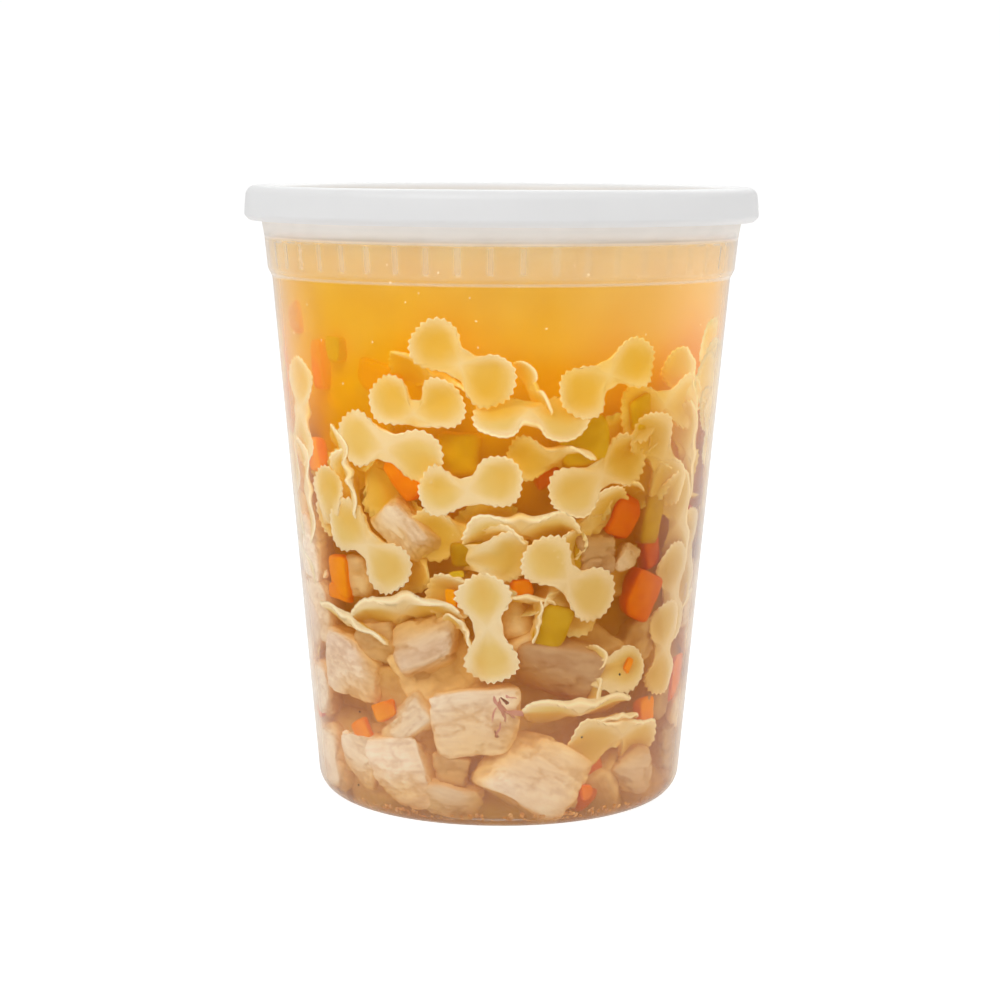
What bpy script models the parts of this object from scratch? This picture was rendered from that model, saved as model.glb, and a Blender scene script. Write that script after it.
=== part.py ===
"""A lidded tub of chicken noodle soup: a thin turned tub, its push-on lid and the soup inside.

Metres, +Z up. The origin is the centre of the foot ring, on the surface that the tub stands on.
"""

import math

import bmesh
import bpy
from mathutils import Matrix, Vector

MM = 0.001

# Driving sizes of the tub, all on its outer face.
TUB_WALL = 0.75 * MM
FOOT_EDGE_RADIUS = 42.4 * MM
FOOT_FILLET = 6.3 * MM
FOOT_RING_INNER = 28.0 * MM
BASE_RECESS_DEPTH = 0.8 * MM
BASE_RECESS_SLOPE = 1.6 * MM
SHOULDER_RADIUS = 53.35 * MM
SHOULDER_HEIGHT = 122.2 * MM
BAND_FOOT_RADIUS = 54.35 * MM
BAND_FOOT_HEIGHT = 124.2 * MM
BAND_TOP_RADIUS = 55.1 * MM
BAND_TOP_HEIGHT = 131.3 * MM
NECK_RADIUS = 55.9 * MM
NECK_HEIGHT = 136.0 * MM
LIP_RADIUS = 58.5 * MM
LIP_TOP = 141.6 * MM
LIP_DROP = 3.8 * MM
LIP_CORNER = 1.1 * MM

# Ribs inside the band, which keep stacked tubs from jamming.
RIB_COUNT = 48
RIB_TURN = math.radians(-2.4)
RIB_WIDTH = 1.5 * MM
RIB_DEPTH = 0.5 * MM
RIB_ROOT = 0.3 * MM
RIB_END_GAP = 0.5 * MM

# The lid, on its outer face.
LID_WALL = 0.8 * MM
LID_RADIUS = 59.75 * MM
LID_TOP = 143.0 * MM
LID_SKIRT_FOOT = 135.1 * MM
LID_SKIRT_DRAFT = 0.5 * MM
LID_BEAD = 0.9 * MM
LID_CORNER = 2.0 * MM
LID_RIM_INNER = 54.4 * MM
LID_PANEL_TOP = 139.9 * MM
LID_STEP_RADIUS = 46.0 * MM
LID_STEP_HEIGHT = 0.7 * MM
LID_STEP_RUN = 1.2 * MM

# The soup.
SOUP_LEVEL = 131.0 * MM
SOUP_GAP = 0.3 * MM

STEPS_ROUND = 52
ARC_STEPS = 3
FILLET_STEPS = 5
MERGE = 0.00001


def clear_scene():
    for obj in list(bpy.data.objects):
        bpy.data.objects.remove(obj, do_unlink=True)


def new_collection(name):
    collection = bpy.data.collections.new(name)
    bpy.context.scene.collection.children.link(collection)
    return collection


def principled(name, colour, roughness, alpha=1.0):
    material = bpy.data.materials.new(name)
    material.use_nodes = True
    shader = material.node_tree.nodes["Principled BSDF"]
    shader.inputs["Base Color"].default_value = (*colour, 1.0)
    shader.inputs["Roughness"].default_value = roughness
    shader.inputs["Metallic"].default_value = 0.0
    shader.inputs["Alpha"].default_value = alpha
    return material


def filleted(corners):
    """Points of a path of (radius, height, fillet, steps) corners, with an arc at each fillet."""
    points = []
    for index, (radius, height, fillet, steps) in enumerate(corners):
        here = Vector((radius, height))
        if fillet == 0:
            points.append(here)
            continue
        before = (Vector(corners[index - 1][:2]) - here).normalized()
        after = (Vector(corners[index + 1][:2]) - here).normalized()
        half = before.angle(after) / 2
        centre = here + (before + after).normalized() * (fillet / math.sin(half))
        start = here + before * (fillet / math.tan(half)) - centre
        end = here + after * (fillet / math.tan(half)) - centre
        sweep = start.angle_signed(end)
        for step in range(steps + 1):
            turn = Matrix.Rotation(-sweep * step / steps, 2)
            points.append(centre + turn @ start)
    return points


def turned(name, points, collection, material):
    """An object that turns a path of (radius, height) points round the Z axis."""
    mesh = bpy.data.meshes.new(name)
    shape = bmesh.new()
    verts = [shape.verts.new((point.x, 0.0, point.y)) for point in points]
    for first, second in zip(verts, verts[1:]):
        shape.edges.new((first, second))
    shape.to_mesh(mesh)
    shape.free()
    obj = bpy.data.objects.new(name, mesh)
    collection.objects.link(obj)
    mesh.materials.append(material)
    screw = obj.modifiers.new("turn", "SCREW")
    screw.steps = STEPS_ROUND
    screw.render_steps = STEPS_ROUND
    screw.use_merge_vertices = True
    screw.merge_threshold = MERGE
    screw.use_smooth_shade = True
    return obj


def thickened(obj, wall):
    """Gives a turned path a wall, half of it on each side."""
    shell = obj.modifiers.new("wall", "SOLIDIFY")
    shell.thickness = wall
    shell.offset = 0.0
    shell.use_even_offset = True
    return obj


def tub_path():
    """The middle of the tub's wall, from the curled lip down to the centre of the base."""
    half = TUB_WALL / 2
    lip = LIP_RADIUS - half
    roof = LIP_TOP - half
    mouth = NECK_RADIUS - half
    corners = [
        (lip, LIP_TOP - LIP_DROP, 0, 0),
        (lip, roof, LIP_CORNER, ARC_STEPS),
        (mouth, roof, LIP_CORNER, ARC_STEPS),
        (mouth, NECK_HEIGHT, 0, 0),
        (BAND_TOP_RADIUS - half, BAND_TOP_HEIGHT, 0, 0),
        (BAND_FOOT_RADIUS - half, BAND_FOOT_HEIGHT, 0, 0),
        (SHOULDER_RADIUS - half, SHOULDER_HEIGHT, 0, 0),
        (FOOT_EDGE_RADIUS - half, half, FOOT_FILLET - half, FILLET_STEPS),
        (FOOT_RING_INNER, half, 0, 0),
        (FOOT_RING_INNER - BASE_RECESS_SLOPE, half + BASE_RECESS_DEPTH, 0, 0),
        (0.0, half + BASE_RECESS_DEPTH, 0, 0),
    ]
    return filleted(corners)


def rib_block():
    """Every rib of the band, as one helper mesh of separate boxes that lean with the wall."""
    slope = math.atan2(BAND_TOP_RADIUS - BAND_FOOT_RADIUS, BAND_TOP_HEIGHT - BAND_FOOT_HEIGHT)
    middle_height = (BAND_TOP_HEIGHT + BAND_FOOT_HEIGHT) / 2
    inner_face = (BAND_TOP_RADIUS + BAND_FOOT_RADIUS) / 2 - TUB_WALL
    depth = RIB_DEPTH + RIB_ROOT
    centre = inner_face - RIB_DEPTH + depth / 2
    height = BAND_TOP_HEIGHT - BAND_FOOT_HEIGHT - 2 * RIB_END_GAP
    size = Matrix.Diagonal((depth, RIB_WIDTH, height, 1.0))
    lean = Matrix.Translation((centre, 0.0, middle_height)) @ Matrix.Rotation(slope, 4, "Y")
    shape = bmesh.new()
    for index in range(RIB_COUNT):
        turn = Matrix.Rotation(2 * math.pi * index / RIB_COUNT + RIB_TURN, 4, "Z")
        bmesh.ops.create_cube(shape, size=1.0, matrix=turn @ lean @ size)
    mesh = bpy.data.meshes.new("rib_block")
    shape.to_mesh(mesh)
    shape.free()
    return mesh


def build_tub(parts, helpers):
    plastic = principled("clear_plastic", (0.93, 0.92, 0.9), 0.25, 0.35)
    tub = thickened(turned("container", tub_path(), parts, plastic), TUB_WALL)
    ribs = bpy.data.objects.new("rib_block", rib_block())
    ribs.hide_render = True
    ribs.display_type = "WIRE"
    helpers.objects.link(ribs)
    join = tub.modifiers.new("ribs", "BOOLEAN")
    join.operation = "UNION"
    join.solver = "EXACT"
    join.object = ribs
    return tub


def lid_path():
    """The middle of the lid's wall, from the holding bead at the skirt's foot in to the centre."""
    half = LID_WALL / 2
    skirt = LID_RADIUS - half
    top = LID_TOP - half
    inner = LID_RIM_INNER
    panel = LID_PANEL_TOP - half
    step_foot = LID_STEP_RADIUS + LID_STEP_RUN
    corners = [
        (skirt - LID_BEAD, LID_SKIRT_FOOT + half, 0, 0),
        (skirt, LID_SKIRT_FOOT + half + LID_BEAD, 0, 0),
        (skirt - LID_SKIRT_DRAFT, top, LID_CORNER, ARC_STEPS + 1),
        (inner, top, LIP_CORNER, ARC_STEPS),
        (inner - LID_SKIRT_DRAFT, panel, LIP_CORNER, ARC_STEPS),
        (step_foot, panel, 0, 0),
        (LID_STEP_RADIUS, panel + LID_STEP_HEIGHT, 0, 0),
        (0.0, panel + LID_STEP_HEIGHT, 0, 0),
    ]
    return filleted(corners)


def build_lid(parts):
    plastic = principled("milky_plastic", (0.92, 0.92, 0.91), 0.4, 0.7)
    return thickened(turned("lid", lid_path(), parts, plastic), LID_WALL)


def soup_path():
    """The soup's outline, from the middle of its surface out and down to the middle of the base."""
    inset = TUB_WALL + SOUP_GAP
    behind_ribs = inset + RIB_DEPTH
    floor = TUB_WALL + SOUP_GAP
    recess_floor = floor + BASE_RECESS_DEPTH
    corners = [
        (0.0, SOUP_LEVEL, 0, 0),
        (BAND_TOP_RADIUS - behind_ribs, SOUP_LEVEL, 0, 0),
        (BAND_FOOT_RADIUS - behind_ribs, BAND_FOOT_HEIGHT, 0, 0),
        (SHOULDER_RADIUS - inset, SHOULDER_HEIGHT, 0, 0),
        (FOOT_EDGE_RADIUS - inset, floor, FOOT_FILLET - inset, FILLET_STEPS),
        (FOOT_RING_INNER + inset, floor, 0, 0),
        (FOOT_RING_INNER - BASE_RECESS_SLOPE + inset, recess_floor, 0, 0),
        (0.0, recess_floor, 0, 0),
    ]
    return filleted(corners)


def build_soup(parts):
    broth = principled("golden_broth", (0.78, 0.42, 0.09), 0.2)
    return turned("soup", soup_path(), parts, broth)


def main():
    clear_scene()
    parts = new_collection("chicken_noodle_soup")
    helpers = new_collection("helpers")
    build_tub(parts, helpers)
    build_lid(parts)
    build_soup(parts)


main()
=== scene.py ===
"""The looks of a lidded tub of chicken noodle soup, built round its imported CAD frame.

The tub is 143 mm tall and stands on the origin, +Z up, with its shown side towards -Y. Everything sunk
in the soup is placed on the unrolled wall of the tub: an azimuth round it, a height, and a depth behind
the wall's inner face.
"""

from __future__ import annotations

import logging
import math
import random
from dataclasses import dataclass, field
from enum import Enum
from typing import Iterable, Mapping, Sequence, Union

import bmesh
import bpy
from mathutils import Euler, Matrix, Vector

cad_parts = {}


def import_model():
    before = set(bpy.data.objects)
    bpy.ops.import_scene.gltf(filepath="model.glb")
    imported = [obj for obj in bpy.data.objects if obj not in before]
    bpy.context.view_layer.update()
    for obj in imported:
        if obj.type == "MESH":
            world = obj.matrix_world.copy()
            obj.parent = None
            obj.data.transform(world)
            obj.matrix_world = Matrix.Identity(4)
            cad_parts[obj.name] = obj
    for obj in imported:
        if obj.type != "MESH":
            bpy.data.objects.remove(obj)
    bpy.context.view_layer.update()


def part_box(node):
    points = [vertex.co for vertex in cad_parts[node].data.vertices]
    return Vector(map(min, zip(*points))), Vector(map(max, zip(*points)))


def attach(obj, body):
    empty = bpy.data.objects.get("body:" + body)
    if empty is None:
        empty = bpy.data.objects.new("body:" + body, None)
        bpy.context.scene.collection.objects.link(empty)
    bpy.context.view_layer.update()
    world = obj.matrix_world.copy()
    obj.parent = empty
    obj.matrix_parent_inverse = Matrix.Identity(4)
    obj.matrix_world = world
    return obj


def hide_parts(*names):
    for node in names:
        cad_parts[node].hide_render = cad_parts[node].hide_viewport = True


LOG = logging.getLogger("soup")
MM = 0.001
TAU = 2.0 * math.pi
BODY = "root"
MERGE = 0.00001
DRAW_SEED = 44
LID_RADIUS = 59.75 * MM
PLASTIC_IOR = 1.49
BROTH_IOR = 1.34
Span = tuple[float, float]
Colour = tuple[float, float, float, float]


def srgb(red: int, green: int, blue: int) -> Colour:
    """A colour given as 0 to 255 display values, as the linear values that shaders take.

    Args:
        red: Display red.
        green: Display green.
        blue: Display blue.

    Returns:
        Linear red, green, blue and an alpha of 1.
    """
    linear = []
    for value in (red, green, blue):
        share = value / 255.0
        linear.append(share / 12.92 if share <= 0.04045 else ((share + 0.055) / 1.055) ** 2.4)
    return (linear[0], linear[1], linear[2], 1.0)


# ----------------------------------------
# Node trees written as expressions
# ----------------------------------------


class Wire:
    """One output of a node. Arithmetic on it adds Math nodes to its graph."""

    def __init__(self, graph: "Graph", socket: bpy.types.NodeSocket) -> None:
        """Wraps a socket of that graph."""
        self.graph = graph
        self.socket = socket

    def __add__(self, other: "Value") -> "Wire":
        """Self plus other."""
        return self.graph.math("ADD", self, other)

    def __radd__(self, other: "Value") -> "Wire":
        """Other plus self."""
        return self.graph.math("ADD", other, self)

    def __sub__(self, other: "Value") -> "Wire":
        """Self less other."""
        return self.graph.math("SUBTRACT", self, other)

    def __rsub__(self, other: "Value") -> "Wire":
        """Other less self."""
        return self.graph.math("SUBTRACT", other, self)

    def __mul__(self, other: "Value") -> "Wire":
        """Self times other."""
        return self.graph.math("MULTIPLY", self, other)

    def __rmul__(self, other: "Value") -> "Wire":
        """Other times self."""
        return self.graph.math("MULTIPLY", other, self)

    def __truediv__(self, other: "Value") -> "Wire":
        """Self over other."""
        return self.graph.math("DIVIDE", self, other)

    def __rtruediv__(self, other: "Value") -> "Wire":
        """Other over self."""
        return self.graph.math("DIVIDE", other, self)

    def __pow__(self, other: "Value") -> "Wire":
        """Self to the power other."""
        return self.graph.math("POWER", self, other)

    def __neg__(self) -> "Wire":
        """Minus self."""
        return self.graph.math("MULTIPLY", self, -1.0)

    def __abs__(self) -> "Wire":
        """The size of self."""
        return self.graph.math("ABSOLUTE", self)


Value = Union[Wire, float]


def largest(a: Value, b: Value) -> Value:
    """The larger of two values, as a node if either is a wire."""
    wire = a if isinstance(a, Wire) else b
    return wire.graph.math("MAXIMUM", a, b) if isinstance(wire, Wire) else max(a, b)


def root(a: Value) -> Value:
    """The square root of a value, as a node if it is a wire."""
    return a.graph.math("SQRT", a) if isinstance(a, Wire) else math.sqrt(a)


def softly_over(a: Value, floor: float, reach: float) -> Value:
    """A value kept above a floor by a smooth curve that never folds back on itself.

    Args:
        a: The value.
        floor: What it comes down to.
        reach: How far from the floor the curve starts to turn.

    Returns:
        The kept value.
    """
    over = a - floor
    return (over + root(over * over + reach * reach)) * 0.5 + floor


class Graph:
    """A node tree that is built in code, for shaders and for Geometry Nodes alike."""

    def __init__(self, tree: bpy.types.NodeTree) -> None:
        """Starts on an existing tree."""
        self.tree = tree

    def node(
        self,
        kind: str,
        settings: Mapping[str, object] | None = None,
        values: Mapping[Union[str, int], object] | None = None,
    ) -> bpy.types.Node:
        """Adds any node.

        Args:
            kind: The node's type name.
            settings: Attributes that are set first. "stops" holds a colour ramp's (place, colour) pairs.
            values: A number, tuple, name, material or wire for each input, by its name or its place.

        Returns:
            The new node.
        """
        made = self.tree.nodes.new(kind)
        made.location = (40.0 * len(self.tree.nodes), 0.0)
        for name, setting in (settings or {}).items():
            if name == "stops":
                self._set_stops(made.color_ramp, setting)
            else:
                setattr(made, name, setting)
        for key, value in (values or {}).items():
            self._feed(self._socket(made.inputs, key), value)
        return made

    @staticmethod
    def _set_stops(ramp: bpy.types.ColorRamp, stops: Sequence[tuple[float, tuple]]) -> None:
        """Gives a colour ramp its stops.

        Args:
            ramp: The ramp.
            stops: Pairs of place and colour.
        """
        while len(ramp.elements) > 1:
            ramp.elements.remove(ramp.elements[-1])
        ramp.elements[0].position, ramp.elements[0].color = stops[0]
        for place, colour in stops[1:]:
            ramp.elements.new(place).color = colour

    @staticmethod
    def _socket(sockets: Sequence, key: Union[str, int]) -> bpy.types.NodeSocket:
        """The socket of that place, or the enabled one of that name."""
        if isinstance(key, int):
            return sockets[key]
        return next(socket for socket in sockets if socket.name == key and socket.enabled)

    def _feed(self, socket: bpy.types.NodeSocket, value: object) -> None:
        """Links a wire to a socket, or sets the socket's value.

        Args:
            socket: The socket of an input.
            value: The wire or the value.
        """
        if isinstance(value, Wire):
            self.tree.links.new(value.socket, socket)
        else:
            socket.default_value = value

    def wire(self, made: bpy.types.Node, output: Union[str, int] = 0) -> Wire:
        """One output of a node, by its place or by the name of an enabled one."""
        return Wire(self, self._socket(made.outputs, output))

    def math(self, operation: str, *values: Value) -> Wire:
        """A Math node on numbers and wires."""
        return self.wire(self.node("ShaderNodeMath", {"operation": operation}, dict(enumerate(values))))

    def vector_math(self, operation: str, *values: object) -> Wire:
        """A Vector Math node on vectors."""
        made = self.node("ShaderNodeVectorMath", {"operation": operation}, dict(enumerate(values)))
        return self.wire(made, "Value" if operation in ("DOT_PRODUCT", "LENGTH") else 0)

    def vector(self, x: Value, y: Value, z: Value) -> Wire:
        """A vector of three values."""
        return self.wire(self.node("ShaderNodeCombineXYZ", {}, {"X": x, "Y": y, "Z": z}))

    def parts(self, vector: Wire) -> tuple[Wire, Wire, Wire]:
        """The three values of a vector."""
        split = self.node("ShaderNodeSeparateXYZ", {}, {0: vector})
        return self.wire(split, "X"), self.wire(split, "Y"), self.wire(split, "Z")

    def smoothly(self, value: Value, low: float, high: float, bottom: float = 0.0, top: float = 1.0) -> Wire:
        """A value taken smoothly from bottom, where it is low, to top, where it is high.

        Args:
            value: What is read.
            low: Where the rise starts.
            high: Where it ends.
            bottom: The result up to low.
            top: The result from high.

        Returns:
            The result.
        """
        rise = self.node(
            "ShaderNodeMapRange",
            {"interpolation_type": "SMOOTHSTEP"},
            {"Value": value, "From Min": low, "From Max": high, "To Min": bottom, "To Max": top},
        )
        return self.wire(rise)

    def noise(self, place: Wire, scale: float, detail: float = 2.0, rough: float = 0.5) -> Wire:
        """A noise from 0 to 1 at a place.

        Args:
            place: The point that it is read at.
            scale: Its scale, in waves to the metre.
            detail: Its number of octaves.
            rough: How strong the finer octaves are.

        Returns:
            The noise.
        """
        made = self.node(
            "ShaderNodeTexNoise", {}, {"Vector": place, "Scale": scale, "Detail": detail, "Roughness": rough}
        )
        return self.wire(made)


class Paint(Graph):
    """A material's node tree, with its Principled shader and its output already joined."""

    def __init__(self, name: str) -> None:
        """Makes a new material.

        Args:
            name: The material's name.
        """
        self.material = bpy.data.materials.new(name)
        self.material.use_nodes = True
        super().__init__(self.material.node_tree)
        self.shader = self.tree.nodes["Principled BSDF"]
        self.output = self.tree.nodes["Material Output"]

    def place(self) -> Wire:
        """The point of the surface, in the frame's metres."""
        return self.wire(self.node("ShaderNodeTexCoord"), "Object")

    def attribute(self, name: str, output: str = "Fac") -> Wire:
        """A number that the mesh carries, or with the output Vector a vector."""
        return self.wire(self.node("ShaderNodeAttribute", {"attribute_name": name}), output)

    def blend(self, share: Value, first: object, second: object, kind: str = "MIX") -> Wire:
        """Two colours mixed.

        Args:
            share: How much of the second is in the result.
            first: A colour or a wire.
            second: A colour or a wire.
            kind: The Mix node's blend type.

        Returns:
            The mixed colour.
        """
        made = self.node(
            "ShaderNodeMix",
            {"data_type": "RGBA", "blend_type": kind},
            {"Factor": share, "A": first, "B": second},
        )
        return self.wire(made, "Result")

    def ramp(self, value: Value, stops: Sequence[tuple[float, tuple]], smooth: bool = True) -> Wire:
        """A colour read from a ramp.

        Args:
            value: Where it is read, from 0 to 1.
            stops: Pairs of place and colour.
            smooth: Whether the ramp eases between its stops.

        Returns:
            The colour.
        """
        made = self.node("ShaderNodeValToRGB", {"stops": stops}, {0: value})
        made.color_ramp.interpolation = "EASE" if smooth else "LINEAR"
        return self.wire(made, "Color")

    def bump(self, height: Wire, strength: float, distance: float) -> Wire:
        """A normal bent by a height, whose full range stands for distance metres."""
        values = {"Height": height, "Strength": strength, "Distance": distance}
        return self.wire(self.node("ShaderNodeBump", {}, values))

    def set(self, values: Mapping[str, object]) -> None:
        """Sets or links inputs of the Principled shader."""
        for name, value in values.items():
            self._feed(self.shader.inputs[name], value)

    def multiplied(self, first: object, second: object) -> Wire:
        """Two colours multiplied."""
        return self.blend(1.0, first, second, "MULTIPLY")

    def mix_shaders(self, share: Value, first: Wire, second: Wire) -> Wire:
        """Two shaders mixed, with that share of the second."""
        return self.wire(self.node("ShaderNodeMixShader", {}, {0: share, 1: first, 2: second}))

    def show(self, shader: Wire) -> None:
        """Sends a shader to the surface."""
        self.tree.links.new(shader.socket, self.output.inputs["Surface"])

    def let_light_in(self, shader: Wire, tint: Colour) -> Wire:
        """Lets lamps and scattered light pass a clear surface unbent, with a tint, to light its contents.

        Args:
            shader: What is seen.
            tint: What share of the light passes.

        Returns:
            The combined shader.
        """
        path = self.node("ShaderNodeLightPath")
        clear = self.wire(self.node("ShaderNodeBsdfTransparent", {}, {"Color": tint}))
        for kind in ("Is Shadow Ray", "Is Diffuse Ray"):
            shader = self.mix_shaders(self.wire(path, kind), shader, clear)
        return shader


class Shaper(Graph):
    """A Geometry Nodes tree with named inputs, run on an object to make a plain mesh."""

    def __init__(self, name: str) -> None:
        """Makes a new tree, with a geometry going in and one coming out.

        Args:
            name: The tree's name.
        """
        super().__init__(bpy.data.node_groups.new(name, "GeometryNodeTree"))
        self.identifiers: dict[str, str] = {}
        self.settings: dict[str, object] = {}
        self.tree.interface.new_socket("Geometry", in_out="INPUT", socket_type="NodeSocketGeometry")
        self.tree.interface.new_socket("Geometry", in_out="OUTPUT", socket_type="NodeSocketGeometry")
        self.entry = self.node("NodeGroupInput")
        self.exit = self.node("NodeGroupOutput")

    def geometry(self) -> Wire:
        """The geometry that goes in."""
        return self.wire(self.entry, "Geometry")

    def given(self, name: str, value: Union[float, int, bpy.types.Material]) -> Wire:
        """Adds a named input and the value that the modifier gives it.

        Args:
            name: The input's name.
            value: A length in metres, a count or a material.

        Returns:
            The input's wire.
        """
        kinds = {float: "NodeSocketFloat", int: "NodeSocketInt", bpy.types.Material: "NodeSocketMaterial"}
        socket = self.tree.interface.new_socket(name, in_out="INPUT", socket_type=kinds[type(value)])
        self.identifiers[name] = socket.identifier
        self.settings[name] = value
        return self.wire(self.entry, name)

    def attribute(self, name: str, kind: str = "FLOAT") -> Wire:
        """A value that the points carry."""
        made = self.node("GeometryNodeInputNamedAttribute", {"data_type": kind}, {"Name": name})
        return self.wire(made, "Attribute")

    def store(self, geometry: Wire, name: str, value: Value, kind: str = "FLOAT") -> Wire:
        """Keeps a value on the points of a geometry.

        Args:
            geometry: The geometry.
            name: What the value is called.
            value: The value.
            kind: Its data type.

        Returns:
            The geometry with the value.
        """
        settings = {"data_type": kind, "domain": "POINT"}
        values = {"Geometry": geometry, "Name": name, "Value": value}
        return self.wire(self.node("GeometryNodeStoreNamedAttribute", settings, values))

    def moved(self, geometry: Wire, place: Wire) -> Wire:
        """The geometry with its points set to a place."""
        return self.wire(
            self.node("GeometryNodeSetPosition", {}, {"Geometry": geometry, "Position": place})
        )

    def scaled(self, vector: object, factor: Value) -> Wire:
        """A vector times a number."""
        return self.vector_math("MULTIPLY", vector, self.vector(factor, factor, factor))

    def position(self) -> Wire:
        """Where each point is."""
        return self.wire(self.node("GeometryNodeInputPosition"))

    def grid(self, columns: Value, rows: Value) -> tuple[Wire, Wire, Wire]:
        """A grid of columns by rows of points, to be wrapped into a closed surface.

        Args:
            columns: Its number of columns.
            rows: Its number of rows.

        Returns:
            The grid, each point's column and each point's row.
        """
        made = self.node("GeometryNodeMeshGrid", {}, {"Vertices X": columns, "Vertices Y": rows})
        index = self.wire(self.node("GeometryNodeInputIndex"))
        column = self.math("FLOOR", (index + 0.5) / rows)
        return self.wire(made, "Mesh"), column, index - column * rows

    def welded(self, geometry: Wire, distance: float) -> Wire:
        """The geometry with points closer than that made one, which closes seams and poles."""
        return self.wire(
            self.node("GeometryNodeMergeByDistance", {}, {"Geometry": geometry, "Distance": distance})
        )

    def copied_in_two_grades(self, fine: Wire, coarse: Wire) -> Wire:
        """Real copies at the points that go in, of one template where "fine" is 1 and of the other elsewhere.

        Args:
            fine: The template with more faces.
            coarse: The template with fewer.

        Returns:
            The copies, which carry their point's values.
        """
        is_fine = self.math("GREATER_THAN", self.attribute("fine"), 0.5)
        joined = self.node("GeometryNodeJoinGeometry")
        for template, chosen in ((coarse, 1.0 - is_fine), (fine, is_fine)):
            values = {"Points": self.geometry(), "Selection": chosen, "Instance": template}
            made = self.node("GeometryNodeInstanceOnPoints", {}, values)
            self.tree.links.new(made.outputs[0], joined.inputs[0])
        return self.wire(self.node("GeometryNodeRealizeInstances", {}, {"Geometry": self.wire(joined)}))

    def finish(self, geometry: Wire, finish: Wire) -> None:
        """Ends the tree: smooth faces, no instances left, and the material set.

        Args:
            geometry: What the tree made.
            finish: The material's input.
        """
        smooth = self.node("GeometryNodeSetShadeSmooth", {}, {"Geometry": geometry})
        real = self.node("GeometryNodeRealizeInstances", {}, {"Geometry": self.wire(smooth)})
        dressed = self.node("GeometryNodeSetMaterial", {}, {"Geometry": self.wire(real), "Material": finish})
        self.tree.links.new(dressed.outputs[0], self.exit.inputs["Geometry"])

    def run(self, source: bpy.types.Mesh, name: str) -> bpy.types.Object:
        """Runs the tree on a mesh.

        Args:
            source: What goes in.
            name: The finished piece's name.

        Returns:
            A plain mesh object at the origin, with its faces outwards.
        """
        carrier = bpy.data.objects.new(name + "_source", source)
        bpy.context.scene.collection.objects.link(carrier)
        modifier = carrier.modifiers.new("shape", "NODES")
        modifier.node_group = self.tree
        for given, value in self.settings.items():
            modifier[self.identifiers[given]] = value
        graph = bpy.context.evaluated_depsgraph_get()
        mesh = bpy.data.meshes.new_from_object(carrier.evaluated_get(graph))
        bpy.data.objects.remove(carrier)
        mesh.name = name
        shape = bmesh.new()
        shape.from_mesh(mesh)
        bmesh.ops.recalc_face_normals(shape, faces=shape.faces)
        shape.to_mesh(mesh)
        shape.free()
        piece = bpy.data.objects.new(name, mesh)
        bpy.context.scene.collection.objects.link(piece)
        return piece


# ----------------------------------------
# Turned walls
# ----------------------------------------


@dataclass(frozen=True)
class Corner:
    """One corner of a turned profile, in metres."""

    radius: float
    height: float
    fillet: float = 0.0
    steps: int = 7


def rounded(corners: Sequence[Corner]) -> list[Vector]:
    """The points of a profile, with an arc at each filleted corner.

    Args:
        corners: The profile's corners in order.

    Returns:
        Points of (radius, height).
    """
    points: list[Vector] = []
    for index, corner in enumerate(corners):
        here = Vector((corner.radius, corner.height))
        if corner.fillet == 0.0:
            points.append(here)
            continue
        before = (Vector((corners[index - 1].radius, corners[index - 1].height)) - here).normalized()
        after = (Vector((corners[index + 1].radius, corners[index + 1].height)) - here).normalized()
        half = before.angle(after) / 2.0
        centre = here + (before + after).normalized() * (corner.fillet / math.sin(half))
        start = here + before * (corner.fillet / math.tan(half)) - centre
        end = here + after * (corner.fillet / math.tan(half)) - centre
        sweep = start.angle_signed(end)
        for step in range(corner.steps + 1):
            points.append(centre + Matrix.Rotation(-sweep * step / corner.steps, 2) @ start)
    return points


def offset(points: Sequence[Vector], distance: float) -> list[Vector]:
    """A path moved sideways by an even distance, to the side on its left as it runs.

    Args:
        points: The path, which ends on the axis.
        distance: How far it moves.

    Returns:
        The moved path.
    """
    moved = []
    for index, point in enumerate(points):
        normals = []
        for first, second in ((index - 1, index), (index, index + 1)):
            if first >= 0 and second < len(points):
                along = (points[second] - points[first]).normalized()
                normals.append(Vector((-along.y, along.x)))
        normal = sum(normals, Vector((0.0, 0.0))).normalized()
        moved.append(point + normal * (distance / normal.dot(normals[0])))
    moved[-1].x = 0.0
    return moved


def shell(middle: Sequence[Vector], wall: float, cap_steps: int = 6) -> tuple[list[Vector], int]:
    """The closed cross-section of a wall round its middle path, with a round free edge.

    Args:
        middle: The wall's middle, from its free edge to the axis.
        wall: Its thickness.
        cap_steps: Steps round the free edge.

    Returns:
        The points from axis to axis, and how many of them are on the outer side and the free edge.
    """
    outer = offset(middle, wall / 2.0)
    inner = offset(middle, -wall / 2.0)
    start = outer[0] - middle[0]
    turns = [-math.pi * step / cap_steps for step in range(1, cap_steps)]
    cap = [middle[0] + Matrix.Rotation(turn, 2) @ start for turn in turns]
    if (cap[len(cap) // 2] - middle[0]).dot(middle[1] - middle[0]) > 0.0:
        cap = [middle[0] + Matrix.Rotation(-turn, 2) @ start for turn in turns]
    outside = list(reversed(outer)) + cap
    return outside + inner, len(outside)


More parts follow.
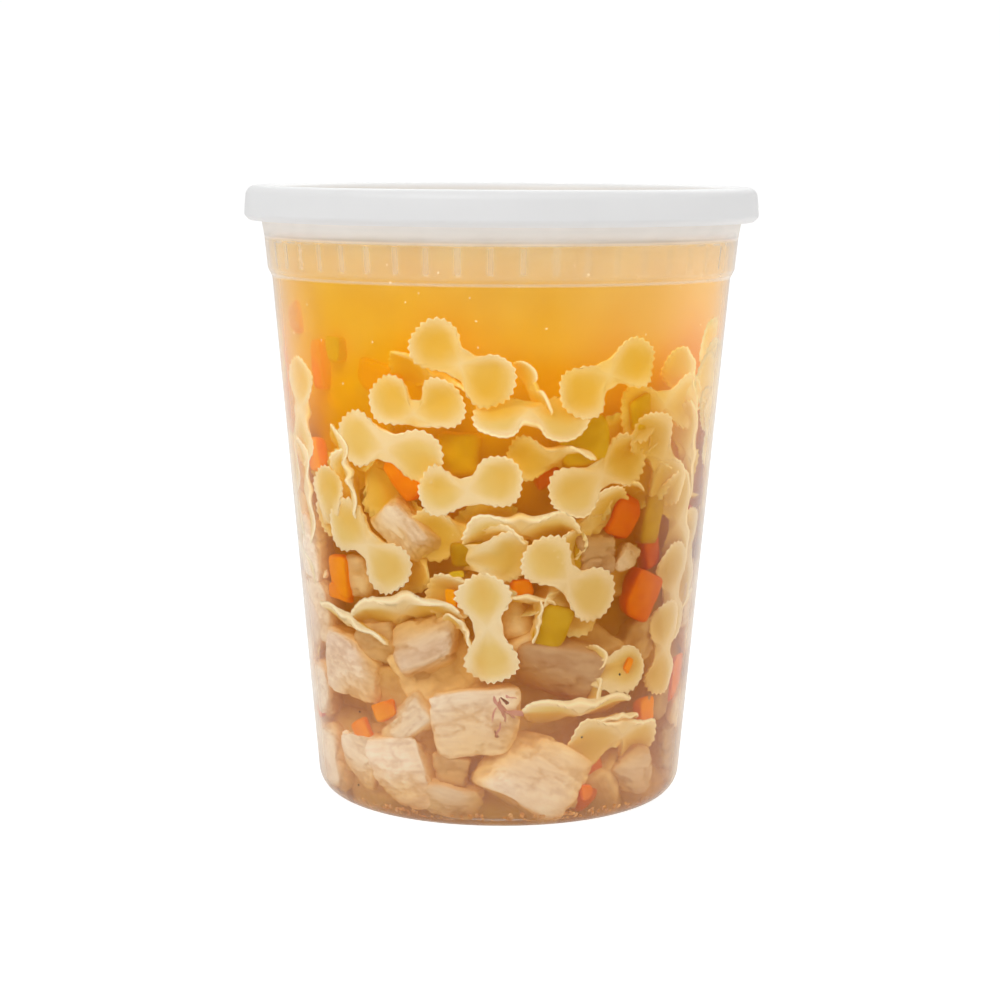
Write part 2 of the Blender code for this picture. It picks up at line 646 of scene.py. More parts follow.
class Turning(Shaper):
    """The tree that turns a profile of points round the tub's axis into a closed wall."""

    def __init__(self, name: str, steps: int, rows: int) -> None:
        """Starts the tree.

        Args:
            name: The tree's name.
            steps: Steps round the axis.
            rows: Points of the profile.
        """
        super().__init__(name)
        self.steps = self.given("Steps Round", steps)
        self.rows = self.given("Profile Points", rows)
        self.surface, column, self.row = self.grid(self.steps + 1.0, self.rows)
        self.angle = column * TAU / self.steps
        self.radius, _, self.height = self.parts(self.sampled(self.position(), "FLOAT_VECTOR"))

    def sampled(self, value: Wire, kind: str) -> Wire:
        """What the profile's own point carries, read at each point of the surface.

        Args:
            value: What is read.
            kind: Its data type.

        Returns:
            The value there.
        """
        row = self.wire(self.node("FunctionNodeFloatToInt", {"rounding_mode": "ROUND"}, {0: self.row}))
        values = {"Geometry": self.geometry(), "Value": value, "Index": row}
        return self.wire(self.node("GeometryNodeSampleIndex", {"data_type": kind}, values), "Value")

    def turn(self, radius: Value, start: Value = 0.0) -> Wire:
        """The surface with each point at that radius, closed at its seam and its poles.

        Args:
            radius: The radius of each point.
            start: How far the whole wall is turned about its axis, in radians.

        Returns:
            The closed surface.
        """
        angle = self.angle + start
        x = radius * self.math("COSINE", angle)
        y = radius * self.math("SINE", angle)
        return self.welded(self.moved(self.surface, self.vector(x, y, self.height)), MERGE)


def profile_mesh(points: Sequence[Vector], inside_from: int | None = None) -> bpy.types.Mesh:
    """A profile as loose points, for a Turning tree.

    Args:
        points: The profile's points of (radius, height).
        inside_from: The first point on the wall's inner side, if it has one.

    Returns:
        The mesh, which carries 1 under "inside" on the inner side.
    """
    mesh = bpy.data.meshes.new("profile")
    mesh.from_pydata([(point.x, 0.0, point.y) for point in points], [], [])
    inside = mesh.attributes.new("inside", "FLOAT", "POINT")
    if inside_from is not None:
        for index in range(inside_from, len(points)):
            inside.data[index].value = 1.0
    return mesh


# ----------------------------------------
# The tub's sizes, which everything inside it follows
# ----------------------------------------


@dataclass(frozen=True)
class TubSizes:
    """The tub's outer sizes, in metres, as its CAD node has them. Only the ribs differ: they are softer,
    wider and lower.
    """

    wall: float = 0.75 * MM
    foot_edge_radius: float = 42.4 * MM
    foot_fillet: float = 6.3 * MM
    foot_ring_inner: float = 28.0 * MM
    recess_depth: float = 0.8 * MM
    recess_slope: float = 1.6 * MM
    shoulder_radius: float = 53.35 * MM
    shoulder_height: float = 122.2 * MM
    band_foot_radius: float = 54.35 * MM
    band_foot_height: float = 124.2 * MM
    band_top_radius: float = 55.1 * MM
    band_top_height: float = 131.3 * MM
    neck_radius: float = 55.9 * MM
    neck_height: float = 136.0 * MM
    lip_drop: float = 3.8 * MM
    lip_corner: float = 1.1 * MM
    rib_count: int = 48
    rib_turn: float = math.radians(-2.4)
    rib_depth: float = 0.2 * MM
    rib_width: float = 1.9 * MM
    rib_end: float = 0.9 * MM

    def taper(self) -> float:
        """How much the wall's radius grows for each metre of height."""
        return (self.shoulder_radius - self.foot_edge_radius) / self.shoulder_height

    def inner_radius(self, height: Value) -> Value:
        """The radius of the wall's inner face below the shoulder, rounded in at the foot.

        Args:
            height: A height above the surface that the tub stands on.

        Returns:
            The radius there.
        """
        fillet = self.foot_fillet - self.wall
        short = largest(fillet + self.wall - height, 0.0)
        rounding = fillet - root(largest(fillet * fillet - short * short, 0.0))
        return height * self.taper() + (self.foot_edge_radius - self.wall) - rounding


SIZES = TubSizes()


# ----------------------------------------
# Finishes
# ----------------------------------------


@dataclass(frozen=True)
class Cloudiness:
    """How cloudy golden broth colours what is sunk in it, by its depth behind the wall and its height.

    The pairs say where a change starts and ends: a rise and a fall are heights, and a side is a place from
    left to right. Some of the colour is painted light: painted shade on the right side at middle heights, a
    painted reflection at the upper right, and a painted glow that is brighter higher up.
    """

    clear_depth: float = 0.4 * MM
    amber_depth: float = 1.5 * MM
    fog_start: float = 1.8 * MM
    fog_full: float = 10.0 * MM
    fog_most: float = 0.92
    film: float = 0.3 * MM
    # Pieces on the right are tinted as if this much deeper: painted shade on that side.
    right_shade_depth: float = 0.8 * MM
    glow: float = 0.42
    low_amber: Colour = (0.93, 0.68, 0.26, 1.0)
    high_amber: Colour = (0.97, 0.755, 0.12, 1.0)
    # A darker tint for pieces on the right side at middle heights: painted shade.
    right_painted_shade: Colour = (0.80, 0.72, 0.6, 1.0)
    # A painted glow, brighter higher up, that stands for light scattered by the cloud.
    low_glow: Colour = (0.5, 0.36, 0.15, 1.0)
    high_glow: Colour = (0.95, 0.70, 0.26, 1.0)
    # Darkens the cloud in random mottles, and as painted shade on its right side at middle heights.
    mottle_and_painted_shade: Colour = srgb(226, 190, 120)
    painted_shade_most: float = 0.44
    painted_shade_rise: Span = (36.0 * MM, 58.0 * MM)
    painted_shade_fall: Span = (84.0 * MM, 104.0 * MM)
    painted_shade_side: Span = (-6.0 * MM, 40.0 * MM)
    # The cloud is paler at its upper right: a painted reflection.
    pale: Colour = srgb(240, 190, 112)
    pale_most: float = 0.6
    painted_reflection_rise: Span = (100.0 * MM, 114.0 * MM)
    painted_reflection_side: Span = (6.0 * MM, 40.0 * MM)
    film_rise: Span = (72.0 * MM, 122.0 * MM)
    right_shade_depth_side: Span = (-4.0 * MM, 34.0 * MM)
    amber_rise: Span = (38.0 * MM, 84.0 * MM)
    # The heights and the side of the painted shade on pieces on the right.
    right_rise: Span = (34.0 * MM, 56.0 * MM)
    right_fall: Span = (88.0 * MM, 102.0 * MM)
    right_side: Span = (-8.0 * MM, 26.0 * MM)
    glow_rise: Span = (52.0 * MM, 104.0 * MM)
    drift: float = 26.0 * MM
    drift_scale: float = 38.0
    mottle: float = 0.2
    mottle_scale: float = 70.0
    stops_height: float = 143.0 * MM
    stops: tuple = (
        (0.0, srgb(176, 118, 60)),
        (0.05, srgb(168, 106, 42)),
        (0.14, srgb(178, 118, 48)),
        (0.24, srgb(172, 112, 36)),
        (0.34, srgb(166, 106, 14)),
        (0.46, srgb(176, 112, 4)),
        (0.56, srgb(192, 126, 0)),
        (0.64, srgb(216, 154, 0)),
        (0.71, srgb(228, 164, 8)),
        (0.78, srgb(229, 170, 44)),
        (0.86, srgb(230, 176, 64)),
        (0.93, srgb(232, 184, 84)),
    )

    def fog(self, paint: Paint) -> Wire:
        """The cloud's colour at a point, with painted shade and a painted reflection in it.

        Args:
            paint: The material that it is made in.

        Returns:
            The colour.
        """
        place = paint.place()
        x, _, height = paint.parts(place)
        drift = (paint.noise(place, self.drift_scale, 1.5) - 0.5) * self.drift
        shade = paint.ramp((height + drift) / self.stops_height, self.stops)
        mottle = paint.smoothly(paint.noise(place, self.mottle_scale, 2.0), 0.35, 0.7)
        # Painted shade: the cloud is darker on its right side at middle heights.
        below = paint.smoothly(height, *self.painted_shade_rise) * (1.0 - paint.smoothly(height, *self.painted_shade_fall))
        right = paint.smoothly(x, *self.painted_shade_side) * below
        mottle_and_painted_shade = paint.multiplied(shade, self.mottle_and_painted_shade)
        shade = paint.blend(mottle * self.mottle + right * self.painted_shade_most, shade, mottle_and_painted_shade)
        # Painted reflection: the cloud is paler at its upper right.
        above = paint.smoothly(height, *self.painted_reflection_rise) * paint.smoothly(x, *self.painted_reflection_side)
        return paint.blend(above * self.pale_most, shade, self.pale)

    def tinted(self, paint: Paint, own: Wire) -> tuple[Wire, Wire]:
        """A sunk piece's colour as the broth shows it.

        Args:
            paint: The piece's material.
            own: Its colour out of the broth.

        Returns:
            The colour to show, and a painted glow that stands for the light that the cloud scatters onto it.
        """
        x, y, height = paint.parts(paint.place())
        depth = SIZES.inner_radius(height) - root(x * x + y * y)
        film = paint.smoothly(height, *self.film_rise) * self.film
        # Painted shade: pieces on the right are tinted as if deeper.
        film = film + paint.smoothly(x, *self.right_shade_depth_side) * self.right_shade_depth
        sunk = largest(depth - self.clear_depth, 0.0) + film
        share = 1.0 - paint.math("EXPONENT", sunk * (-1.0 / self.amber_depth))
        amber = paint.blend(paint.smoothly(height, *self.amber_rise), self.low_amber, self.high_amber)
        # Painted shade: pieces on the right side at middle heights take a darker tint.
        middle = paint.smoothly(height, *self.right_rise) * (1.0 - paint.smoothly(height, *self.right_fall))
        right = paint.smoothly(x, *self.right_side) * middle
        amber = paint.blend(right, amber, paint.multiplied(amber, self.right_painted_shade))
        golden = paint.blend(share, own, paint.multiplied(own, amber))
        hidden = paint.smoothly(sunk, self.fog_start, self.fog_full, 0.0, self.fog_most)
        fog = self.fog(paint)
        # Painted light: a glow on each piece, brighter higher up.
        glow = paint.blend(paint.smoothly(height, *self.glow_rise), self.low_glow, self.high_glow)
        lit = paint.multiplied(golden, glow)
        return paint.blend(hidden, golden, fog), paint.blend(hidden, lit, fog)


CLOUD = Cloudiness()


@dataclass(frozen=True)
class ClearPlastic:
    """Thin clear polypropylene with a faint milky haze, stronger where it is seen edge-on and on the ribs."""

    name: str = "clear_plastic"
    roughness: float = 0.09
    haze: float = 0.004
    edge_haze: float = 0.55
    band_haze: float = 0.13
    neck_haze: float = 0.5
    lip_haze: float = 0.45
    rib_haze: float = 0.17
    line_haze: float = 0.2
    line_width: float = 0.6 * MM
    rim_power: float = 1.4
    # How far the ribs' haze fades towards the right, and where: painted shade on that side.
    rib_painted_shade: float = 0.78
    rib_painted_shade_side: Span = (-12.0 * MM, 34.0 * MM)
    patch_scale: float = 55.0
    patch_low: float = 0.7
    patch_range: float = 0.6
    colour: Colour = (0.985, 0.98, 0.97, 1.0)
    veil: Colour = srgb(255, 248, 240)
    passed: Colour = (0.99, 0.985, 0.98, 1.0)

    def make(self) -> bpy.types.Material:
        """Builds the material.

        Returns:
            The material.
        """
        paint = Paint(self.name)
        paint.set(
            {
                "Base Color": self.colour,
                "Roughness": self.roughness,
                "IOR": PLASTIC_IOR,
                "Transmission Weight": 1.0,
            }
        )
        place = paint.place()
        x, _, height = paint.parts(place)
        facing = paint.wire(paint.node("ShaderNodeLayerWeight", {}, {"Blend": 0.5}), "Facing")
        rim = paint.smoothly(facing, 0.5, 1.0) ** self.rim_power
        band = paint.smoothly(height, SIZES.shoulder_height, SIZES.band_foot_height)
        neck = paint.smoothly(height, SIZES.band_top_height - 0.6 * MM, SIZES.band_top_height + 2.5 * MM)
        lip = paint.smoothly(height, SIZES.band_top_height, SIZES.neck_height + 1.0 * MM)
        # The ribs' haze fades towards the right: painted shade on that side.
        clear = 1.0 - paint.smoothly(x, *self.rib_painted_shade_side) * self.rib_painted_shade
        haze = self.haze + rim * self.edge_haze + band * self.band_haze + neck * self.neck_haze
        haze = haze + lip * self.lip_haze + paint.attribute("rib") * clear * self.rib_haze
        for line in (SIZES.shoulder_height + 0.5 * MM, SIZES.band_top_height):
            near = 1.0 - paint.smoothly(abs(height - line), 0.0, self.line_width)
            haze = haze + near * self.line_haze
        haze = haze * (self.patch_low + paint.noise(place, self.patch_scale, 2.0) * self.patch_range)
        milk = paint.wire(paint.node("ShaderNodeBsdfDiffuse", {}, {"Color": self.veil}))
        seen = paint.mix_shaders(haze, paint.wire(paint.shader), milk)
        paint.show(paint.let_light_in(seen, self.passed))
        return paint.material


@dataclass(frozen=True)
class MilkyPlastic:
    """Milky polypropylene of a lid, satin, and see-through enough to show the soup's colour.

    It carries a little light of its own, as milky plastic scatters it, and more on the shaded inner side of
    the rim: near inner_rim, and above the heights that inner_rise gives.
    """

    name: str = "milky_plastic"
    low_tone: Colour = srgb(218, 218, 218)
    high_tone: Colour = srgb(223, 223, 223)
    roughness: float = 0.45
    clearness: float = 0.2
    scattered: float = 0.3
    glow: Colour = (0.5, 0.5, 0.5, 1.0)
    inner_glow: Colour = (0.72, 0.72, 0.72, 1.0)
    inner_rim: float = 54.3 * MM
    inner_width: Span = (0.3 * MM, 1.1 * MM)
    inner_rise: Span = (139.0 * MM, 140.2 * MM)
    grain: float = 0.05 * MM
    passed: Colour = (0.84, 0.84, 0.835, 1.0)

    def make(self) -> bpy.types.Material:
        """Builds the material.

        Returns:
            The material.
        """
        paint = Paint(self.name)
        place = paint.place()
        tone = paint.blend(paint.noise(place, 60.0, 3.0), self.low_tone, self.high_tone)
        x, y, height = paint.parts(place)
        away = abs(root(x * x + y * y) - self.inner_rim)
        near = 1.0 - paint.smoothly(away, *self.inner_width)
        shaded = near * paint.smoothly(height, *self.inner_rise)
        paint.set(
            {
                "Base Color": tone,
                "Roughness": self.roughness,
                "IOR": PLASTIC_IOR,
                "Transmission Weight": self.clearness,
                "Emission Color": paint.blend(shaded, self.glow, self.inner_glow),
                "Emission Strength": self.scattered,
                "Normal": paint.bump(paint.noise(place, 900.0, 2.0), 0.1, self.grain),
            }
        )
        paint.show(paint.let_light_in(paint.wire(paint.shader), self.passed))
        return paint.material


@dataclass(frozen=True)
class ClearBroth:
    """The thin clear layer of broth between the wall and the cloud."""

    name: str = "clear_broth"
    colour: Colour = (1.0, 0.985, 0.95, 1.0)
    passed: Colour = (1.0, 0.99, 0.95, 1.0)

    def make(self) -> bpy.types.Material:
        """Builds the material.

        Returns:
            The material.
        """
        paint = Paint(self.name)
        paint.set(
            {"Base Color": self.colour, "Roughness": 0.0, "IOR": BROTH_IOR, "Transmission Weight": 1.0}
        )
        paint.show(paint.let_light_in(paint.wire(paint.shader), self.passed))
        return paint.material


@dataclass(frozen=True)
class CloudyBroth:
    """The cloud that fills the middle of the soup, with the vague shapes of what is deeper in it."""

    name: str = "cloudy_broth"
    pale: Colour = srgb(208, 152, 50)
    pale_most: float = 0.4
    brown: Colour = srgb(138, 74, 14)
    brown_most: float = 0.5
    fall: Span = (84.0 * MM, 108.0 * MM)

    def make(self) -> bpy.types.Material:
        """Builds the material.

        Returns:
            The material.
        """
        paint = Paint(self.name)
        place = paint.place()
        height = paint.parts(place)[2]
        below = 1.0 - paint.smoothly(height, *self.fall)
        lumps = paint.smoothly(paint.noise(place, 110.0, 1.0), 0.5, 0.72)
        pale = paint.blend(lumps * below * self.pale_most, CLOUD.fog(paint), self.pale)
        dark = paint.smoothly(paint.noise(place, 75.0, 1.0), 0.5, 0.75)
        colour = paint.blend(dark * below * self.brown_most, pale, self.brown)
        paint.set({"Base Color": colour, "Roughness": 0.9, "Specular IOR Level": 0.0})
        # Painted light: the cloud glows with its own colour, standing for light scattered in it.
        paint.set({"Emission Color": colour, "Emission Strength": CLOUD.glow})
        return paint.material


class Food(Enum):
    """What is sunk in the broth."""

    PASTA = "pasta"
    CHICKEN = "chicken"
    CARROT = "carrot"
    CELERY = "celery"
    PEPPER = "pepper"
    CRUMB = "crumb"
    VEIN = "vein"
    BUBBLE = "bubble"


@dataclass(frozen=True)
class FoodFinish:
    """A food's finish: two tones that a noise mixes, an accent where the mesh asks for it, and a grain.

    The scales are in waves to the metre, and the grain's depth is in metres. Each piece's own tone then
    brightens or darkens it, from tone_low up by tone_range.
    """

    food: Food
    light: Colour
    dark: Colour
    accent: Colour
    scale: float = 140.0
    grain_scale: float = 700.0
    grain: float = 0.25 * MM
    fibre: float = 0.0
    crease: float = 0.0
    roughness: float = 0.6
    gloss: float = 0.0
    strand_scale: float = 900.0
    strand_and_crease_shade: Colour = srgb(206, 168, 138)
    tone_low: float = 0.87
    tone_range: float = 0.26

    def make(self) -> bpy.types.Material:
        """Builds the material.

        Returns:
            The material.
        """
        paint = Paint(self.food.value)
        place = paint.place()
        mix = paint.smoothly(paint.noise(place, self.scale, 3.0), 0.3, 0.7)
        own = paint.blend(mix, self.light, self.dark)
        own = paint.blend(paint.attribute("accent"), own, self.accent)
        if self.fibre > 0.0:
            along = paint.attribute("grain", "Vector")
            strands = paint.smoothly(paint.noise(along, self.strand_scale, 3.0, 0.6), 0.4, 0.65)
            # Creases take the strand colour too: painted shade in them. The strands are the meat's own
            # streaks.
            share = strands * self.fibre + paint.attribute("crease") * self.crease
            own = paint.blend(share, own, paint.multiplied(own, self.strand_and_crease_shade))
        tone = paint.attribute("tone") * self.tone_range + self.tone_low
        own = paint.multiplied(own, paint.vector(tone, tone**1.5, tone**2.4))
        # The second colour is painted light: a glow that stands for light scattered by the cloud.
        shown, glowing = CLOUD.tinted(paint, own)
        grain = paint.noise(place, self.grain_scale, 3.0, 0.6)
        paint.set(
            {
                "Base Color": shown,
                "Roughness": self.roughness,
                "Specular IOR Level": self.gloss,
                "Normal": paint.bump(grain, 0.6, self.grain),
                "Emission Color": glowing,
                "Emission Strength": CLOUD.glow,
            }
        )
        return paint.material


FINISHES = {
    finish.food: finish
    for finish in (
        FoodFinish(
            Food.PASTA, srgb(240, 220, 182), srgb(236, 213, 170), srgb(228, 198, 118),
            scale=160.0, grain_scale=900.0, grain=0.1 * MM,
        ),
        FoodFinish(
            Food.CHICKEN, srgb(242, 224, 202), srgb(232, 205, 174), srgb(220, 184, 164),
            scale=130.0, grain=0.5 * MM, fibre=0.16, crease=0.3,
        ),
        FoodFinish(
            Food.CARROT, srgb(236, 130, 6), srgb(222, 108, 0), srgb(240, 164, 16),
            scale=190.0, grain_scale=800.0, grain=0.2 * MM,
        ),
        FoodFinish(
            Food.CELERY, srgb(220, 188, 52), srgb(204, 166, 20), srgb(226, 206, 100),
            scale=200.0, grain_scale=800.0,
        ),
        FoodFinish(Food.PEPPER, srgb(60, 40, 24), srgb(30, 22, 16), srgb(110, 110, 30), 300.0),
        FoodFinish(Food.CRUMB, srgb(232, 190, 132), srgb(206, 150, 92), srgb(176, 114, 58), 400.0),
        FoodFinish(
            Food.BUBBLE, srgb(255, 232, 205), srgb(250, 220, 180), srgb(255, 245, 230),
            scale=300.0, gloss=0.8,
        ),
        FoodFinish(Food.VEIN, srgb(216, 164, 146), srgb(198, 136, 124), srgb(218, 174, 158), 300.0),
    )
}


# ----------------------------------------
# The container
# ----------------------------------------


@dataclass
class Tub:
    """The clear tub: a turned wall with ribs standing in from its band."""

    sizes: TubSizes
    lip_radius: float
    lip_top: float
    steps_to_a_rib: int = 14
    band_corner: float = 1.5 * MM
    band_shares: tuple[float, ...] = (0.06, 0.12, 0.2, 0.5, 0.8, 0.88, 0.94)
    finish: ClearPlastic = field(default_factory=ClearPlastic)

    def middle(self) -> list[Vector]:
        """The middle of the wall, from the curled lip down to the middle of the base.

        Returns:
            Its points.
        """
        s = self.sizes
        half = s.wall / 2.0
        roof = self.lip_top - half
        recess = half + s.recess_depth
        return rounded(
            [
                Corner(self.lip_radius - half, self.lip_top - s.lip_drop + half),
                Corner(self.lip_radius - half, roof, s.lip_corner),
                Corner(s.neck_radius - half, roof, s.lip_corner),
                Corner(s.neck_radius - half, s.neck_height, 2.0 * MM),
                Corner(s.band_top_radius - half, s.band_top_height, 1.0 * MM, 4),
                Corner(s.band_foot_radius - half, s.band_foot_height, 0.9 * MM, 4),
                Corner(s.shoulder_radius - half, s.shoulder_height, 0.9 * MM, 4),
                Corner(s.foot_edge_radius - half, half, s.foot_fillet - half, 14),
                Corner(s.foot_ring_inner, half, 0.6 * MM, 3),
                Corner(s.foot_ring_inner - s.recess_slope, recess, 0.6 * MM, 3),
                Corner(0.0, recess),
            ]
        )

    def tree(self, rows: int) -> Turning:
        """The tree that turns the wall and raises its ribs.

        Args:
            rows: How many points the wall's profile has.

        Returns:
            The tree.
        """
        s = self.sizes
        tree = Turning("ribbed_tub", s.rib_count * self.steps_to_a_rib, rows)
        count = tree.given("Rib Count", s.rib_count)
        start = tree.given("Rib Turn", s.rib_turn)
        depth = tree.given("Rib Depth", s.rib_depth)
        width = tree.given("Rib Width", s.rib_width)
        foot = tree.given("Band Foot", s.band_foot_height)
        head = tree.given("Band Head", s.band_top_height)
        end = tree.given("Rib End", s.rib_end)
        plastic = tree.given("Plastic", self.finish.make())
        turn = tree.math("FRACT", tree.angle * count / TAU + 0.5)
        away = abs(turn - 0.5) * TAU / count * tree.radius
        across = 1.0 - tree.smoothly((away - width * 0.2) / (width * 0.5), 0.0, 1.0)
        up = tree.smoothly((tree.height - foot) / end, 0.0, 1.0)
        down = tree.smoothly((head - tree.height) / end, 0.0, 1.0)
        rib = across * up * down * tree.sampled(tree.attribute("inside"), "FLOAT")
        tree.surface = tree.store(tree.surface, "rib", rib)
        tree.finish(tree.turn(tree.radius - rib * depth, start), plastic)
        return tree

    def build(self) -> bpy.types.Object:
        """Makes the tub.

        Returns:
            The finished piece.
        """
        points, inside_from = shell(self.middle(), self.sizes.wall)
        points = self.with_band_rows(points, inside_from)
        first_inside = next(
            index for index, point in enumerate(points) if index >= inside_from and point.x > 0.0
        )
        return self.tree(len(points)).run(profile_mesh(points, first_inside), "tub")

    def with_band_rows(self, points: list[Vector], inside_from: int) -> list[Vector]:
        """Adds points down the inner side of the band, close together where the ribs begin and end.

        Args:
            points: The wall's profile.
            inside_from: The first of its points on the inner side.

        Returns:
            The profile with the added points.
        """
        low, high = self.sizes.band_foot_height, self.sizes.band_top_height
        rows = []
        for index, point in enumerate(points):
            rows.append(point)
            if index < inside_from or index + 1 == len(points):
                continue
            after = points[index + 1]
            if point.y > high - self.band_corner and after.y < low + self.band_corner:
                rows.extend(point.lerp(after, share) for share in self.band_shares)
        return rows


@dataclass
class Lid:
    """The milky lid: a cap over the lip round a dropped panel whose middle is raised a little."""

    radius: float
    top: float
    wall: float = 0.8 * MM
    skirt_foot: float = 135.1 * MM
    skirt_draft: float = 0.5 * MM
    bead: float = 0.9 * MM
    corner: float = 2.0 * MM
    rim_inner: float = 54.4 * MM
    panel_top: float = 139.9 * MM
    panel_corner: float = 1.1 * MM
    step_radius: float = 46.0 * MM
    step_height: float = 0.7 * MM
    step_run: float = 1.2 * MM
    steps_round: int = 288
    finish: MilkyPlastic = field(default_factory=MilkyPlastic)

    def middle(self) -> list[Vector]:
        """The middle of the wall, from the bead at the skirt's foot in to the centre.

        Returns:
            Its points.
        """
        half = self.wall / 2.0
        skirt = self.radius - half
        top = self.top - half
        panel = self.panel_top - half
        return rounded(
            [
                Corner(skirt - self.bead, self.skirt_foot + half),
                Corner(skirt, self.skirt_foot + half + self.bead, 0.8 * MM, 5),
                Corner(skirt - self.skirt_draft, top, self.corner, 10),
                Corner(self.rim_inner, top, self.panel_corner),
                Corner(self.rim_inner - self.skirt_draft, panel, self.panel_corner),
                Corner(self.step_radius + self.step_run, panel, 0.5 * MM, 3),
                Corner(self.step_radius, panel + self.step_height, 0.5 * MM, 3),
                Corner(0.0, panel + self.step_height),
            ]
        )

    def build(self) -> bpy.types.Object:
        """Makes the lid.

        Returns:
            The finished piece.
        """
        points, _ = shell(self.middle(), self.wall)
        tree = Turning("turned_lid", self.steps_round, len(points))
        plastic = tree.given("Plastic", self.finish.make())
        tree.finish(tree.turn(tree.radius), plastic)
        return tree.run(profile_mesh(points), "lid_cap")


# ----------------------------------------
# The broth
# ----------------------------------------


@dataclass
class Broth:
    """The clear broth that meets the wall, and the cloud in its middle."""

    sizes: TubSizes
    level: float
    into_wall: float = 0.2 * MM
    creep: float = 0.7 * MM
    creep_run: float = 1.8 * MM
    cloud_depth: float = 9.0 * MM
    cloud_relief: float = 2.2 * MM
    cloud_top_gap: float = 0.5 * MM
    cloud_foot: float = 2.6 * MM
    cloud_corner: float = 3.0 * MM
    cloud_corner_depth: float = 1.5 * MM
    relief_scale: float = 95.0
    relief_fall: Span = (96.0 * MM, 112.0 * MM)
    relief_side: Span = (30.0 * MM, 34.0 * MM)
    creep_steps: int = 6
    steps_round: int = 256

    def clear_path(self) -> list[Vector]:
        """The clear broth's outline, from the middle of its surface round to the middle of its base.

        Returns:
            Its points.
        """
        s = self.sizes
        inset = s.wall - self.into_wall
        recess = inset + s.recess_depth
        brim = s.band_top_radius - inset
        points = [Vector((0.0, self.level))]
        for step in range(1, self.creep_steps + 1):
            share = step / self.creep_steps
            radius = brim - self.creep_run * (1.0 - share)
            points.append(Vector((radius, self.level + self.creep * share * share)))
        return points + rounded(
            [
                Corner(brim, self.level + self.creep),
                Corner(brim, s.band_top_height - 0.4 * MM),
                Corner(s.band_foot_radius - inset, s.band_foot_height, 0.9 * MM, 4),
                Corner(s.shoulder_radius - inset, s.shoulder_height, 0.9 * MM, 4),
                Corner(s.foot_edge_radius - inset, inset, s.foot_fillet - inset, 14),
                Corner(s.foot_ring_inner + inset, inset),
                Corner(s.foot_ring_inner - s.recess_slope + inset, recess),
                Corner(0.0, recess),
            ]
        )[1:]

    def build_clear(self) -> bpy.types.Object:
        """Makes the clear broth.

        Returns:
            The finished piece.
        """
        points = self.clear_path()
        tree = Turning("turned_broth", self.steps_round, len(points))
        liquid = tree.given("Liquid", ClearBroth().make())
        tree.finish(tree.turn(tree.radius), liquid)
        return tree.run(profile_mesh(points), "broth")

    def cloud_path(self, rows: int = 90) -> list[Vector]:
        """The cloud's outline, which keeps its depth behind the wall.

        Args:
            rows: How many points its side has.

        Returns:
            Its points.
        """
        low = self.cloud_foot
        high = self.level - self.cloud_top_gap
        points = [Vector((step * 9.0 * MM, high)) for step in range(5)]
        for row in range(rows):
            height = high - (high - low) * row / (rows - 1)
            corner = max(0.0, 1.0 - (high - height) / self.cloud_corner) ** 2 * self.cloud_corner_depth
            radius = self.sizes.inner_radius(height) - self.cloud_depth - corner
            points.append(Vector((radius, height)))
        return points + [Vector((step * 7.0 * MM, low)) for step in range(4, -1, -1)]

    def build_cloud(self) -> bpy.types.Object:
        """Makes the cloud, whose side swells and sinks a little at random.

        Returns:
            The finished piece.
        """
        points = self.cloud_path()
        tree = Turning("cloud_of_broth", self.steps_round, len(points))
        relief = tree.given("Relief", self.cloud_relief)
        cloud = tree.given("Cloud", CloudyBroth().make())
        place = tree.vector(
            tree.math("COSINE", tree.angle) * tree.radius,
            tree.math("SINE", tree.angle) * tree.radius,
            tree.height,
        )
        swell = tree.noise(place, self.relief_scale, 2.0) - 0.5
        below = 1.0 - tree.smoothly(tree.height, *self.relief_fall)
        side = tree.smoothly(tree.radius, *self.relief_side)
        tree.finish(tree.turn(tree.radius + swell * relief * 2.0 * below * side), cloud)
        return tree.run(profile_mesh(points), "broth_cloud")


# ----------------------------------------
# What is sunk in it
# ----------------------------------------


@dataclass(frozen=True)
class Placement:
    """Where a sunk piece lies, on the unrolled wall of the tub.

    Azimuth is in degrees round the tub, 0 at the front and growing to the right. Height and depth are in
    millimetres, and depth is that of the piece's middle behind the wall. Spin turns it in the plane of the
    wall, tilt rolls it about its long side and nod tips its right end towards the wall, in degrees.
    """

    azimuth: float
    height: float
    depth: float
    spin: float = 0.0
    tilt: float = 0.0
    nod: float = 0.0
    tone: float = 0.5
    shape: tuple[float, ...] = ()

    def turn(self) -> Euler:
        """The piece's own axes turned into the wall's: right along it, depth, and up.

        Returns:
            The turn.
        """
        upright = Matrix.Rotation(math.radians(90.0), 3, "X")
        spin = Matrix.Rotation(math.radians(self.spin), 3, "Z")
        tilt = Matrix.Rotation(math.radians(self.tilt), 3, "X")
        nod = Matrix.Rotation(math.radians(-self.nod), 3, "Y")
        return (upright @ spin @ tilt @ nod).to_euler()


def points_mesh(placements: Sequence[Placement], names: Sequence[str]) -> bpy.types.Mesh:
    """Loose points that carry each piece's place and shape, for a Sunken tree.

    Args:
        placements: The pieces.
        names: What the values of each placement's shape are called.

    Returns:
        The mesh of points.
    """
    mesh = bpy.data.meshes.new("pieces")
    mesh.from_pydata([(0.0, 0.0, 0.01 * index) for index in range(len(placements))], [], [])
    numbers: dict[str, list[float]] = {
        "azimuth": [math.radians(piece.azimuth) for piece in placements],
        "height": [piece.height * MM for piece in placements],
        "depth": [piece.depth * MM for piece in placements],
        "tone": [piece.tone for piece in placements],
        "seed": [7.31 * index for index in range(len(placements))],
    }
    for place, name in enumerate(names):
        numbers[name] = [piece.shape[place] for piece in placements]
    for name, values in numbers.items():
        mesh.attributes.new(name, "FLOAT", "POINT").data.foreach_set("value", values)
    turns = [number for piece in placements for number in piece.turn()]
    mesh.attributes.new("turn", "FLOAT_VECTOR", "POINT").data.foreach_set("vector", turns)
    return mesh


